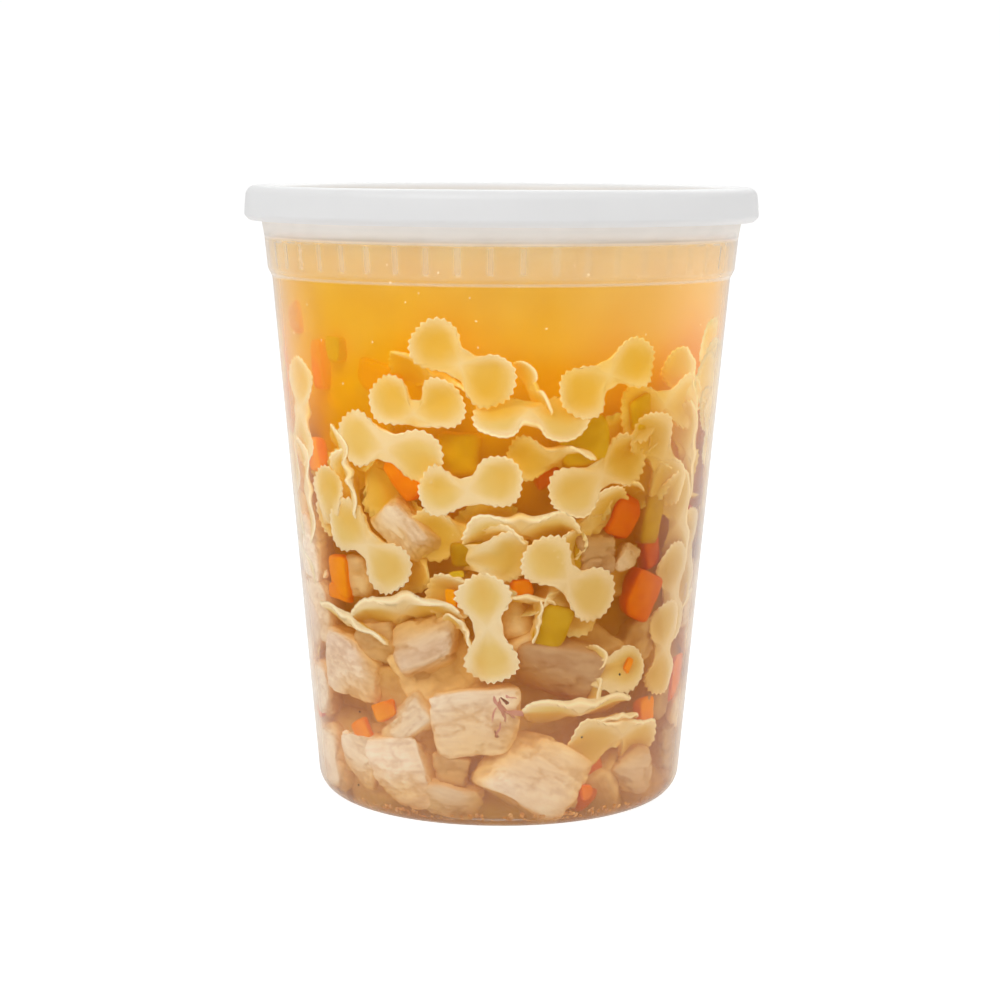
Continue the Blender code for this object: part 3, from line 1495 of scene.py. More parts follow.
class Sunken(Shaper):
    """A tree that copies a template to each point, shapes it, turns it and wraps it round inside the wall."""

    def __init__(self, name: str) -> None:
        """Starts the tree, with the gap that a piece keeps to the wall and to the base.

        Args:
            name: The tree's name.
        """
        super().__init__(name)
        self.gap = 0.35 * MM
        self.soft = 0.7 * MM
        self.base = 2.2 * MM

    def wobble(self, local: Wire, scale: float, amount: Value) -> Wire:
        """A local place pushed about by a smooth noise of its own for each piece.

        Args:
            local: The place.
            scale: The noise's scale, in waves to the metre.
            amount: How far it pushes.

        Returns:
            The pushed place.
        """
        seed = self.attribute("seed")
        start = self.vector_math("ADD", local, self.vector(seed, seed * 0.37, seed * 0.71))
        noise = self.node("ShaderNodeTexNoise", {}, {"Vector": start, "Scale": scale, "Detail": 1.0})
        centred = self.vector_math("SUBTRACT", self.wire(noise, "Color"), (0.5, 0.5, 0.5))
        return self.vector_math("ADD", local, self.scaled(centred, amount))

    def degrees(self, name: str) -> Wire:
        """A value of the shape that is in degrees, in radians."""
        return self.attribute(name) * math.radians(1.0)

    def rotated(self, first: Wire, second: Wire, angle: Wire) -> tuple[Wire, Wire]:
        """Two coordinates turned by an angle in radians."""
        cosine, sine = self.math("COSINE", angle), self.math("SINE", angle)
        return first * cosine - second * sine, first * sine + second * cosine

    def into_place(self, geometry: Wire, local: Wire) -> Wire:
        """Turns each piece and wraps it round inside the tub's wall.

        Args:
            geometry: The pieces.
            local: Each point's place on its own piece.

        Returns:
            The placed pieces.
        """
        euler = self.attribute("turn", "FLOAT_VECTOR")
        turn = self.wire(self.node("FunctionNodeEulerToRotation", {}, {0: euler}))
        turned = self.wire(self.node("FunctionNodeRotateVector", {}, {0: local, 1: turn}))
        along, inward, up = self.parts(turned)
        own_depth = self.attribute("depth")
        own_height = self.attribute("height")
        height = softly_over(up + own_height, self.base, self.soft)
        depth = softly_over(inward + own_depth, self.gap, self.soft)
        reach = SIZES.inner_radius(own_height) - own_depth
        angle = self.attribute("azimuth") + along / reach
        radius = SIZES.inner_radius(height) - depth
        x = radius * self.math("SINE", angle)
        y = radius * self.math("COSINE", angle) * -1.0
        return self.moved(geometry, self.vector(x, y, height))


# The bow ties at the front, each with the arguments of BowTiePasta.tie in order.
FRONT_TIES = (
    (-9.8, 105.6, 3.0, -33, 6, 0, (8, 0, 2.0, 0.4, 0.93, 6)),
    (-17.4, 103.0, 6.4, -27, 50, 0, (8, 0, 1.8, 0.4, 0.84, -8)),
    (-22.1, 94.0, 2.7, 1, -6, 0, (6, 4, 2.0, 0.4, 0.87, 24)),
    (-30.4, 86.9, 1.9, -10, 8, 0, (12, 0, 1.6, 0.4, 1.02, 0)),
    (-65.0, 92.4, 2.6, -95, 10, 0, (8, 0, 1.6, 0.5, 0.96, 0)),
    (-44.4, 80.4, 3.6, -74, 66, 0, (12, 6, 1.4, 0.6, 0.84, 12)),
    (-53.4, 69.6, 2.3, 90, 0, 55, (0, -55, 1.8, 0.4, 0.84, 0)),
    (-38.8, 64.0, 2.4, -37, -6, 0, (6, 4, 1.7, 0.5, 0.98, -6)),
    (-7.8, 77.6, 2.3, 14, -6, 0, (8, 4, 2.0, 0.5, 0.9, 8)),
    (-8.8, 67.2, 5.6, -10, 24, 0, (8, 6, 2.0, 0.4, 0.96, 0)),
    (8.4, 100.6, 4.0, -62, 68, 0, (6, 4, 1.0, 0.1, 0.56, 28)),
    (28.1, 103.0, 2.8, 28, 0, 0, (6, 0, 1.9, 0.4, 0.94, -6)),
    (7.8, 94.2, 2.9, -1, -42, 0, (4, 0, 1.6, 0.2, 0.94, -18)),
    (14.2, 85.6, 4.2, 4, 32, 0, (56, 0, 1.9, 0.4, 0.76, 0)),
    (26.6, 80.6, 3.1, 32, -8, -10, (12, 4, 2.0, 0.5, 0.96, -6)),
    (35.0, 79.0, 4.4, -10, 60, 0, (8, 6, 1.6, 0.5, 0.52, -8)),
    (48.5, 95.2, 3.8, 10, 4, 8, (10, 0, 1.9, 0.5, 0.98, 0)),
    (49.6, 83.6, 3.8, -58, 26, 0, (10, 6, 1.8, 0.5, 0.94, 0)),
    (61.9, 84.0, 2.2, -80, 60, 0, (8, 6, 1.4, 0.5, 0.96, 0)),
    (58.2, 98.0, 3.0, -68, 52, 0, (8, 6, 1.4, 0.5, 0.9, 0)),
    (60.5, 68.6, 2.6, -76, 44, 0, (8, 6, 1.4, 0.5, 0.94, 0)),
    (67.0, 59.6, 2.6, -84, 34, 0, (8, 4, 1.5, 0.5, 0.9, 0)),
    (25.0, 69.6, 4.4, 54, 22, 0, (8, 10, 1.9, 0.5, 0.86, 0)),
    (5.8, 70.2, 3.4, 6, 42, 0, (8, 6, 1.8, 0.5, 1.0, -8)),
    (-3.2, 46.6, 1.5, -82, 4, 0, (4, 0, 1.3, 0.4, 0.95, 0), 0.7),
    (19.4, 57.6, 1.6, -36, 4, 0, (6, 0, 1.4, 0.5, 0.93, 6), 0.65),
    (-6.6, 62.8, 3.4, 4, 8, 55, (0, -55, 1.8, 0.5, 0.9, 0)),
    (-5.6, 54.2, 4.4, 4, 10, -55, (0, -55, 1.9, 0.5, 0.9, 0)),
    (8.8, 53.6, 2.6, -6, 78, 0, (6, 4, 0.8, 0.3, 0.52, -26)),
    (11.0, 48.4, 2.2, -100, 80, 0, (6, 4, 0.8, 0.3, 0.42, 16)),
    (-48.6, 46.2, 1.9, -14, 76, 0, (6, 4, 0.8, 0.3, 0.9, 0)),
    (-29.6, 51.4, 3.4, 10, 52, 0, (8, 8, 1.8, 0.4, 1.1, -12)),
    (-9.8, 46.6, 2.2, -54, 66, 0, (14, 20, 1.2, 0.5, 0.42, 0)),
    (31.4, 36.4, 4.4, 4, 10, 60, (0, -52, 5.6, 0.6, 0.9, 0)),
    (28.8, 35.4, 3.0, -88, 60, 0, (10, 4, 1.6, 0.4, 0.6, 28)),
    (24.6, 28.4, 1.9, 2, 70, 0, (4, 0, 0.8, 0.2, 1.04, 2)),
    (39.6, 21.2, 3.1, -4, 34, 0, (8, 4, 1.7, 0.6, 0.98, -14)),
    (37.6, 24.6, 1.5, -4, 80, 0, (6, 4, 0.8, 0.4, 0.5, 0)),
    (59.9, 51.7, 2.2, -82, 26, 0, (8, 4, 1.5, 0.5, 0.9, 0)),
    (57.9, 38.8, 2.4, -86, 30, 0, (8, 4, 1.5, 0.5, 0.86, 0)),
    (-50.0, 76.0, 5.6, 64, 30, 0, (12, 8, 1.6, 0.5, 0.96, 0)),
    (-66.0, 74.0, 3.4, -84, 40, 0, (12, 8, 1.6, 0.5, 0.96, 0)),
)


@dataclass
class BowTiePasta:
    """Small bow ties: two round scalloped lobes joined by a pinched neck.

    The values of a placement's shape are the piece's twist and bend in degrees, its cup in millimetres, its
    wave, its size beside the usual one, its bow in degrees, by which the two lobes lean to one side of the
    neck, and whether it is a fine piece.
    """

    lobe_radius: float = 5.67 * MM
    lobe_middle: float = 7.4 * MM
    neck_length: float = 5.0 * MM
    neck_half_width: float = 3.4 * MM
    neck_rise: float = 0.7
    scallop_depth: float = 0.31 * MM
    thickness: float = 1.3 * MM
    fold: float = 0.5 * MM
    fold_pitch: float = 4.6 * MM
    scallops: int = 42
    scallop_power: float = 6.0
    face_power: float = 2.1
    edge_share: float = 0.26
    lobe_spread: float = 1.46
    pinch_reach: float = 4.2 * MM
    pinch_swell: float = 0.9
    waves: float = 7.0
    wave_height: float = 1.5 * MM
    neck_reach: Span = (2.0 * MM, 5.5 * MM)
    wobble: float = 2.4 * MM
    wobble_scale: float = 100.0
    # Near the rim, from the first to the second share of the way out, the bow tie is painted lighter.
    rim: Span = (0.97, 1.0)
    rim_painted_light: float = 0.8
    pale_part: Span = (0.25, 0.95)
    neck_accent: float = 0.85
    side_count: int = 88
    deep_count: int = 14
    columns: int = 168
    rows: int = 11
    coarse_columns: int = 84
    coarse_rows: int = 5
    names: tuple[str, ...] = ("twist", "bend", "cup", "wave", "size", "bow", "fine")

    @staticmethod
    def tie(
        azimuth: float,
        height: float,
        depth: float,
        spin: float,
        tilt: float,
        nod: float,
        shape: tuple[float, ...],
        tone: float = 0.5,
    ) -> Placement:
        """One bow tie of the finer kind."""
        return Placement(azimuth, height, depth, spin, tilt, nod, tone, (*shape, 1.0))

    def front(self) -> list[Placement]:
        """The bow ties that show at the front, placed one by one.

        Returns:
            The bow ties.
        """
        return [self.tie(*row) for row in FRONT_TIES]

    def around(self, draw: random.Random) -> list[Placement]:
        """The bow ties at the sides, at the back and deeper in, placed by a seeded draw.

        Args:
            draw: The seeded source.

        Returns:
            The bow ties.
        """
        pieces = []
        for _ in range(self.side_count):
            azimuth, depth = draw.uniform(72.0, 288.0), draw.uniform(2.0, 4.8)
            pieces.append(self.drawn(draw, azimuth, depth, 40.0, 106.0))
        for _ in range(self.deep_count):
            azimuth, depth = draw.uniform(-66.0, 60.0), draw.uniform(7.4, 9.4)
            pieces.append(self.drawn(draw, azimuth, depth, 50.0, 90.0))
        return pieces

    @staticmethod
    def drawn(draw: random.Random, azimuth: float, depth: float, low: float, high: float) -> Placement:
        """One bow tie of the coarser kind, drawn at random.

        Args:
            draw: The seeded source.
            azimuth: Where it is round the tub, in degrees.
            depth: Its depth, in millimetres.
            low: The least height, in millimetres.
            high: The greatest height.

        Returns:
            The bow tie.
        """
        shape = (
            draw.uniform(-30.0, 30.0),
            draw.uniform(0.0, 16.0),
            draw.uniform(1.2, 2.0),
            draw.uniform(0.3, 0.8),
            draw.uniform(0.88, 1.04),
            draw.uniform(-16.0, 16.0),
            0.0,
        )
        return Placement(
            azimuth,
            draw.uniform(low, high),
            depth,
            draw.uniform(-90.0, 90.0),
            draw.choice((0.0, 10.0, 25.0, 50.0, 75.0)) * draw.choice((-1.0, 1.0)),
            draw.uniform(-12.0, 12.0),
            draw.random(),
            shape,
        )

    def template(self, tree: Sunken, columns: Wire, rows: Wire) -> Wire:
        """A closed round cushion of rows and columns, which carries where each point is on the bow tie.

        Args:
            tree: The tree that it is made in.
            columns: Its number of columns, round the bow tie.
            rows: Its number of rows, over it from face to face.

        Returns:
            The template.
        """
        surface, column, row = tree.grid(columns + 1.0, rows)
        around = column * TAU / columns
        across = 1.0 - row * 2.0 / (rows - 1.0)
        away = abs(across)
        ring = 1.0 - away**self.face_power
        side = tree.math("SIGN", across) * (1.0 - largest(1.0 - away / self.edge_share, 0.0) ** 2.0)
        cosine, sine = tree.math("COSINE", around), tree.math("SINE", around)
        for name, value in {"along": cosine, "across": sine, "ring": ring, "side": side}.items():
            surface = tree.store(surface, name, value)
        place = tree.vector(ring * cosine, ring * sine, side * 0.1)
        return tree.welded(tree.moved(surface, place), 0.0005)

    def flat(self, tree: Sunken, neck: float) -> tuple[Wire, Wire, Wire]:
        """The flat outline with its scallops.

        Args:
            tree: The tree that it is made in.
            neck: The neck's half width.

        Returns:
            Each point's place along and across the bow tie, and its share of the way to the rim.
        """
        lobe = tree.given("Lobe Radius", self.lobe_radius)
        middle = tree.given("Lobe Middle", self.lobe_middle)
        length = tree.given("Neck Length", self.neck_length)
        depth = tree.given("Scallop Depth", self.scallop_depth)
        count = tree.given("Scallops", self.scallops)
        ring = tree.attribute("ring")
        cosine = tree.attribute("along")
        sine = tree.attribute("across")
        around = tree.math("ARCTAN2", sine, cosine)
        out_x = cosine * (abs(cosine) * (middle + lobe - length) + length)
        out_y = sine * (tree.smoothly(abs(cosine), 0.2, 1.0) * lobe * self.lobe_spread + neck)
        from_x = out_x - tree.math("SIGN", cosine) * middle
        reach = root(from_x * from_x + out_y * out_y) + 0.1 * MM
        tooth = tree.math("COSINE", around * count)
        fluted = tree.smoothly(abs(cosine), 0.3, 0.5)
        push = tooth * fluted * depth * ring**self.scallop_power / reach
        return ring * out_x + from_x * push, ring * out_y + out_y * push, ring

    def tree(self) -> Sunken:
        """The tree that makes every bow tie.

        Returns:
            The tree.
        """
        tree = Sunken("bow_tie_pasta")
        thickness = tree.given("Thickness", self.thickness)
        fold = tree.given("Fold", self.fold)
        pitch = tree.given("Fold Pitch", self.fold_pitch)
        neck = tree.given("Neck Half Width", self.neck_half_width)
        pasta = tree.given("Pasta", FINISHES[Food.PASTA].make())
        columns, rows = tree.given("Columns", self.columns), tree.given("Rows", self.rows)
        fine = self.template(tree, columns, rows)
        columns = tree.given("Coarse Columns", self.coarse_columns)
        rows = tree.given("Coarse Rows", self.coarse_rows)
        pieces = tree.copied_in_two_grades(fine, self.template(tree, columns, rows))
        x, y, ring = self.flat(tree, neck)
        far = (abs(x) - self.lobe_middle) / self.lobe_radius
        across = y / self.lobe_radius
        round_lobe = far * far + across * across
        pinch = tree.math("EXPONENT", (x / self.pinch_reach) ** 2.0 * -1.0)
        around = tree.math("ARCTAN2", tree.attribute("across"), tree.attribute("along"))
        wave = tree.math("COSINE", around * self.waves + tree.attribute("seed")) * tree.attribute("wave")
        ridges = tree.math("COSINE", y / pitch * TAU) * pinch * fold
        lobes = tree.smoothly(abs(x), *self.neck_reach)
        rise = tree.attribute("cup") * MM * (round_lobe * lobes + (1.0 - lobes) * self.neck_rise)
        rise = rise + wave * self.wave_height * ring**3.0 + ridges
        z = rise + tree.attribute("side") * thickness * 0.5 * (1.0 + pinch * self.pinch_swell)
        y, z = tree.rotated(y, z, tree.degrees("twist") * x / (2.0 * self.lobe_radius))
        out = tree.smoothly(abs(x), 0.0, self.lobe_radius)
        reach, z = tree.rotated(abs(x), z, tree.degrees("bend") * out)
        reach, y = tree.rotated(reach, y, tree.degrees("bow") * out)
        local = tree.vector(reach * tree.math("SIGN", x), y, z)
        local = tree.wobble(tree.scaled(local, tree.attribute("size")), self.wobble_scale, self.wobble)
        # Painted light: the rim is made lighter, to lift the shade on its edge-on sides.
        thin = tree.smoothly(ring, *self.rim)
        pale = tree.smoothly(round_lobe, *self.pale_part)
        pieces = tree.store(pieces, "tone", tree.attribute("tone") + thin * self.rim_painted_light)
        pieces = tree.store(pieces, "accent", (1.0 - pale) * self.neck_accent)
        tree.finish(tree.into_place(pieces, local), pasta)
        return tree

    def build(self, draw: random.Random) -> bpy.types.Object:
        """Makes every bow tie, as one piece."""
        placements = self.front() + self.around(draw)
        return self.tree().run(points_mesh(placements, self.names), "bow_tie_pasta")


@dataclass
class Chunks:
    """Cut pieces of one food: blocks with flat cut faces, rounded edges and a grain.

    The values of a placement's shape are the half lengths of the block's three sides in millimetres, how
    far in its extra cuts come beside its mean half length, and whether it is a fine piece. Each further cut
    comes in less by cut_step.
    """

    food: Food
    name: str
    placements: list[Placement]
    edge: float = 7.0
    cuts: int = 4
    cut_step: float = 0.12
    subdivisions: int = 5
    swell: float = 1.6 * MM
    swell_scale: float = 85.0
    crease: float = 0.0
    crease_scale: float = 120.0
    crease_width: float = 0.05
    fibre: float = 0.6 * MM
    fibre_scale: float = 260.0
    arch: float = 0.0
    hue: float = 0.0
    blush: float = 0.5
    blush_scale: float = 70.0
    names: tuple[str, ...] = ("half_x", "half_y", "half_z", "cut", "fine")

    def block(self, tree: Sunken, way: Wire) -> Wire:
        """How far the block's surface is from its middle, in a direction.

        Args:
            tree: The tree that it is made in.
            way: The direction, of length 1.

        Returns:
            The distance, in millimetres.
        """
        edge = tree.given("Edge Sharpness", self.edge)
        halves = [tree.attribute(name) for name in self.names[:3]]
        total: Value = 0.0
        for part, half in zip(tree.parts(way), halves):
            total = (abs(part) / half) ** edge + total
        mean = (halves[0] + halves[1] + halves[2]) / 3.0
        seed = tree.attribute("seed") * 10.0
        number = tree.wire(tree.node("FunctionNodeFloatToInt", {"rounding_mode": "ROUND"}, {0: seed}))
        for cut in range(self.cuts):
            lean = tree.wire(
                tree.node(
                    "FunctionNodeRandomValue",
                    {"data_type": "FLOAT_VECTOR"},
                    {0: (-1.0, -1.0, -1.0), 1: (1.0, 1.0, 1.0), "ID": number, "Seed": cut},
                )
            )
            facing = tree.vector_math("DOT_PRODUCT", tree.vector_math("NORMALIZE", lean), way)
            near = mean * tree.attribute("cut") * (1.0 + self.cut_step * cut)
            total = (largest(facing, 0.0) / near) ** edge + total
        return total ** (-1.0 / edge)

    def tree(self) -> Sunken:
        """The tree that makes every piece.

        Returns:
            The tree.
        """
        tree = Sunken(self.name)
        swell = tree.given("Swell", self.swell)
        fibre = tree.given("Fibre", self.fibre)
        finish = tree.given("Finish", FINISHES[self.food].make())
        pieces = tree.copied_in_two_grades(
            self.ball(tree, tree.given("Subdivisions", self.subdivisions)),
            self.ball(tree, tree.given("Coarse Subdivisions", self.subdivisions - 1)),
        )
        way = tree.vector(tree.attribute("way_x"), tree.attribute("way_y"), tree.attribute("way_z"))
        local = tree.scaled(way, self.block(tree, way) * MM)
        local = tree.wobble(local, self.swell_scale, swell * 2.0)
        if self.crease:
            pieces, local = self.creased(tree, pieces, local, way)
        seed = tree.attribute("seed")
        along = tree.vector_math("MULTIPLY", local, (0.22, 1.0, 1.0))
        along = tree.vector_math("ADD", along, tree.vector(seed, seed * 0.5, 0.0))
        pieces = tree.store(pieces, "grain", along, "FLOAT_VECTOR")
        grain = (tree.noise(along, self.fibre_scale, 4.0, 0.65) - 0.5) * fibre * 2.0
        local = tree.vector_math("ADD", local, tree.scaled(way, grain))
        if self.arch:
            x, y, z = tree.parts(local)
            local = tree.vector(x, y, z - y * y * (self.arch / MM))
        blush = tree.smoothly(tree.noise(along, self.blush_scale, 2.0), 0.52, 0.72) * self.blush
        pieces = tree.store(pieces, "accent", blush + (tree.attribute("tone") - 0.5) * self.hue)
        tree.finish(tree.into_place(pieces, local), finish)
        return tree

    def creased(self, tree: Sunken, pieces: Wire, local: Wire, way: Wire) -> tuple[Wire, Wire]:
        """The pieces with torn creases along their grain, whose depth is kept for the finish.

        Args:
            tree: The tree that it is made in.
            pieces: The pieces.
            local: Each point's place on its piece.
            way: Each point's direction from the piece's middle.

        Returns:
            The pieces, and the points' places with the creases.
        """
        crease = tree.given("Crease", self.crease)
        seed = tree.attribute("seed")
        along = tree.vector_math("MULTIPLY", local, (0.5, 1.0, 1.0))
        along = tree.vector_math("ADD", along, tree.vector(seed * 0.3, seed, seed * 0.7))
        away = abs(tree.noise(along, self.crease_scale, 4.0, 0.62) - 0.5)
        deep = 1.0 - tree.smoothly(away, 0.0, self.crease_width)
        local = tree.vector_math("ADD", local, tree.scaled(way, deep * crease * -1.0))
        # The finish darkens the creases by this depth: painted shade.
        return tree.store(pieces, "crease", deep), local

    @staticmethod
    def ball(tree: Sunken, subdivisions: Wire) -> Wire:
        """A ball whose points carry their direction.

        Args:
            tree: The tree that it is made in.
            subdivisions: How finely it is divided.

        Returns:
            The ball.
        """
        made = tree.node("GeometryNodeMeshIcoSphere", {}, {"Radius": 1.0, "Subdivisions": subdivisions})
        template = tree.wire(made, "Mesh")
        for name, value in zip(("way_x", "way_y", "way_z"), tree.parts(tree.position())):
            template = tree.store(template, name, value)
        return template

    def build(self) -> bpy.types.Object:
        """Makes every piece of the food, as one piece."""
        return self.tree().run(points_mesh(self.placements, self.names), self.name)


def chunk(
    azimuth: float,
    height: float,
    depth: float,
    halves: tuple[float, float, float],
    spin: float = 0.0,
    tilt: float = 0.0,
    nod: float = 0.0,
    cut: float = 0.95,
    tone: float = 0.5,
    fine: float = 1.0,
) -> Placement:
    """One cut piece: where it lies, its half lengths in millimetres, how it is turned and how it is cut."""
    return Placement(azimuth, height, depth, spin, tilt, nod, tone, (*halves, cut, fine))


def drawn_chunks(
    draw: random.Random,
    count: int,
    azimuths: Span,
    heights: Span,
    depths: Span,
    sizes: Span,
) -> list[Placement]:
    """Cut pieces drawn at random.

    Args:
        draw: The seeded source.
        count: How many.
        azimuths: Their range round the tub, in degrees.
        heights: Their range of height, in millimetres.
        depths: Their range of depth, in millimetres.
        sizes: The range of their half lengths, in millimetres.

    Returns:
        The pieces.
    """
    pieces = []
    for _ in range(count):
        halves = (draw.uniform(*sizes) * 1.15, draw.uniform(*sizes), draw.uniform(*sizes) * 0.85)
        pieces.append(
            chunk(
                draw.uniform(*azimuths),
                draw.uniform(*heights),
                draw.uniform(*depths),
                halves,
                draw.uniform(-90.0, 90.0),
                draw.uniform(-40.0, 40.0),
                draw.uniform(-30.0, 30.0),
                draw.uniform(0.85, 1.1),
                draw.random(),
                0.0,
            )
        )
    return pieces


def chicken(draw: random.Random) -> Chunks:
    """The chicken, packed at the bottom of the tub with a few pieces higher up.

    Args:
        draw: The seeded source.

    Returns:
        The pieces.
    """
    rows = (
        (-6.9, 25.4, 6.8, (9.2, 7.8, 6.2), 5, 8, -6, 1.0, 0.7),
        (11.2, 12.2, 6.8, (11.4, 8.0, 6.8), -30, -14, 6, 0.86, 0.75),
        (-32.2, 12.6, 6.0, (6.8, 8.8, 6.0), 14, 14, 8, 0.9, 0.8),
        (-49.4, 14.2, 5.4, (5.2, 7.6, 5.2), -14, 20, 0, 0.88, 0.6),
        (-28.0, 24.2, 5.8, (8.2, 4.2, 5.2), 38, -16, 10, 0.92, 0.5),
        (-15.4, 13.6, 7.4, (4.0, 3.6, 4.6), -10, 10, 0, 0.9, 0.1, 0.0),
        (-14.4, 6.8, 5.8, (6.2, 3.8, 4.6), -8, 16, 0, 0.92, 0.2),
        (-70.0, 11.4, 4.8, (6.4, 8.0, 4.8), 8, 0, 10, 0.9, 0.55),
        (-51.6, 35.6, 5.3, (8.4, 6.8, 6.0), -12, 16, -12, 0.9, 0.9),
        (-34.4, 31.0, 8.6, (8.4, 5.6, 5.6), 6, 0, 0, 0.9, 0.1, 0.0),
        (-21.4, 42.4, 5.8, (9.6, 5.4, 5.4), 30, -22, 0, 0.88, 0.45),
        (-68.0, 46.0, 5.4, (6.4, 7.8, 5.2), 10, 0, 0, 0.9, 0.7),
        (-70.0, 60.6, 4.8, (5.2, 7.4, 4.6), -6, 0, 0, 0.9, 0.9),
        (-27.2, 68.0, 4.6, (10.4, 4.2, 4.2), -42, 10, 0, 0.98, 0.5),
        (19.0, 37.6, 7.2, (9.0, 6.4, 6.2), -12, 24, 8, 0.9, -0.5),
        (27.9, 63.0, 5.4, (4.2, 5.0, 4.4), 4, 0, 0, 0.98, -0.3),
        (48.8, 11.6, 5.0, (7.0, 5.4, 4.6), -12, 14, 0, 0.76, 0.1),
        (37.8, 60.8, 2.8, (2.6, 3.4, 2.0), -34, 0, 0, 0.98, 0.3),
        (-72.0, 28.0, 5.2, (6.8, 7.0, 5.0), 0, 0, 12, 0.88, 0.6),
        (72.0, 13.6, 5.6, (6.0, 8.0, 4.8), 6, 0, 0, 0.88, -0.4),
        (59.0, 27.0, 6.4, (4.8, 5.4, 4.6), -30, 0, 0, 0.9, -0.3, 0.0),
        (74.0, 50.0, 5.2, (5.6, 7.6, 5.0), 8, 0, 0, 0.88, 0.5),
        (-54.7, 17.4, 1.5, (1.7, 1.4, 0.9), 20, 0, 0, 0.9, 1.2, 0.0),
        (-59.6, 55.2, 1.4, (1.2, 0.9, 0.7), 10, 0, 0, 0.9, 1.2, 0.0),
        (-41.0, 42.0, 7.0, (6.2, 4.6, 5.0), 12, 0, 0, 0.9, 0.2, 0.0),
        (-44.6, 56.4, 5.6, (3.2, 4.6, 3.4), 4, 0, 0, 0.9, 0.4, 0.0),
        (46.6, 41.6, 7.2, (5.4, 4.8, 4.2), 10, 0, 0, 0.9, 0.1, 0.0),
    )
    front = [chunk(*row) for row in rows]
    back = drawn_chunks(draw, 42, (78.0, 282.0), (8.0, 50.0), (5.6, 8.4), (6.6, 9.4))
    deep = drawn_chunks(draw, 22, (-70.0, 70.0), (6.0, 50.0), (11.2, 13.0), (6.0, 8.4))
    return Chunks(
        Food.CHICKEN, "chicken_pieces", front + back + deep,
        edge=10.0, cuts=7, crease=0.55 * MM, hue=-0.5,
    )


def carrots(draw: random.Random) -> Chunks:
    """The carrot dice.

    Args:
        draw: The seeded source.

    Returns:
        The pieces.
    """
    rows = (
        (-60.0, 83.0, 3.2, (2.6, 3.6, 2.6), 12, 0, 0, 1.05, 0.9),
        (-26.9, 79.8, 3.8, (2.8, 5.0, 2.4), 40, 0, 0, 1.0, 0.7),
        (-51.6, 55.8, 3.6, (3.4, 4.6, 3.2), 2, 8, 14, 1.1, 0.85),
        (-53.0, 51.8, 2.4, (3.6, 1.8, 1.8), -6, 0, 0, 1.0, 0.8),
        (36.5, 71.2, 3.8, (3.2, 5.0, 3.0), -24, 0, 0, 1.05, 0.0),
        (45.4, 52.4, 3.6, (4.4, 5.4, 3.4), -22, 10, 0, 1.1, 0.4),
        (49.6, 61.8, 5.6, (2.6, 3.4, 2.4), 10, 0, 0, 1.0, 0.3),
        (-47.0, 20.2, 2.4, (2.5, 2.4, 1.6), 30, 0, 0, 1.0, 0.8),
        (-36.7, 26.0, 2.4, (3.0, 2.1, 1.6), 26, 0, 0, 1.0, 0.8),
        (31.3, 10.4, 7.6, (3.8, 7.0, 3.0), 14, 0, 0, 1.0, 0.4),
        (29.6, 7.4, 2.8, (1.3, 1.8, 1.2), 10, 0, 0, 1.0, 0.6),
        (-13.6, 52.9, 1.8, (1.1, 2.5, 1.1), 0, 0, 0, 1.0, 0.9),
        (6.1, 55.8, 4.0, (2.6, 1.9, 1.8), 8, 0, 0, 1.0, 0.9),
        (-59.5, 103.8, 7.8, (1.9, 5.6, 2.0), 2, 0, 0, 1.0, 0.9),
        (-37.0, 101.4, 9.8, (5.4, 3.6, 2.4), -16, 0, 0, 1.0, 0.8),
        (52.1, 24.8, 3.6, (2.2, 3.2, 2.2), 8, 0, 0, 1.0, 1.0),
        (-74.0, 114.0, 9.4, (2.6, 4.0, 2.4), 10, 0, 0, 1.0, 0.4),
        (67.6, 31.0, 2.2, (2.6, 6.4, 2.2), -4, 0, 0, 1.0, 0.6),
        (68.0, 66.0, 3.6, (2.2, 5.0, 2.2), 4, 0, 0, 1.0, 0.6),
        (40.8, 36.6, 1.8, (1.0, 2.1, 1.0), -24, 0, 0, 1.0, 0.9),
        (13.6, 80.4, 6.4, (2.8, 1.9, 1.6), 30, 0, 0, 1.0, 0.0),
        (-74.0, 22.0, 2.4, (1.8, 4.0, 1.6), 0, 0, 0, 1.0, 0.5),
    )
    front = [chunk(*row) for row in rows]
    back = drawn_chunks(draw, 20, (78.0, 282.0), (10.0, 104.0), (2.8, 4.4), (2.8, 4.8))
    return Chunks(
        Food.CARROT, "carrot_dice", front + back,
        edge=9.0, cuts=3, subdivisions=4, swell=0.8 * MM, swell_scale=160.0,
        fibre=0.25 * MM, fibre_scale=400.0, hue=1.2,
    )


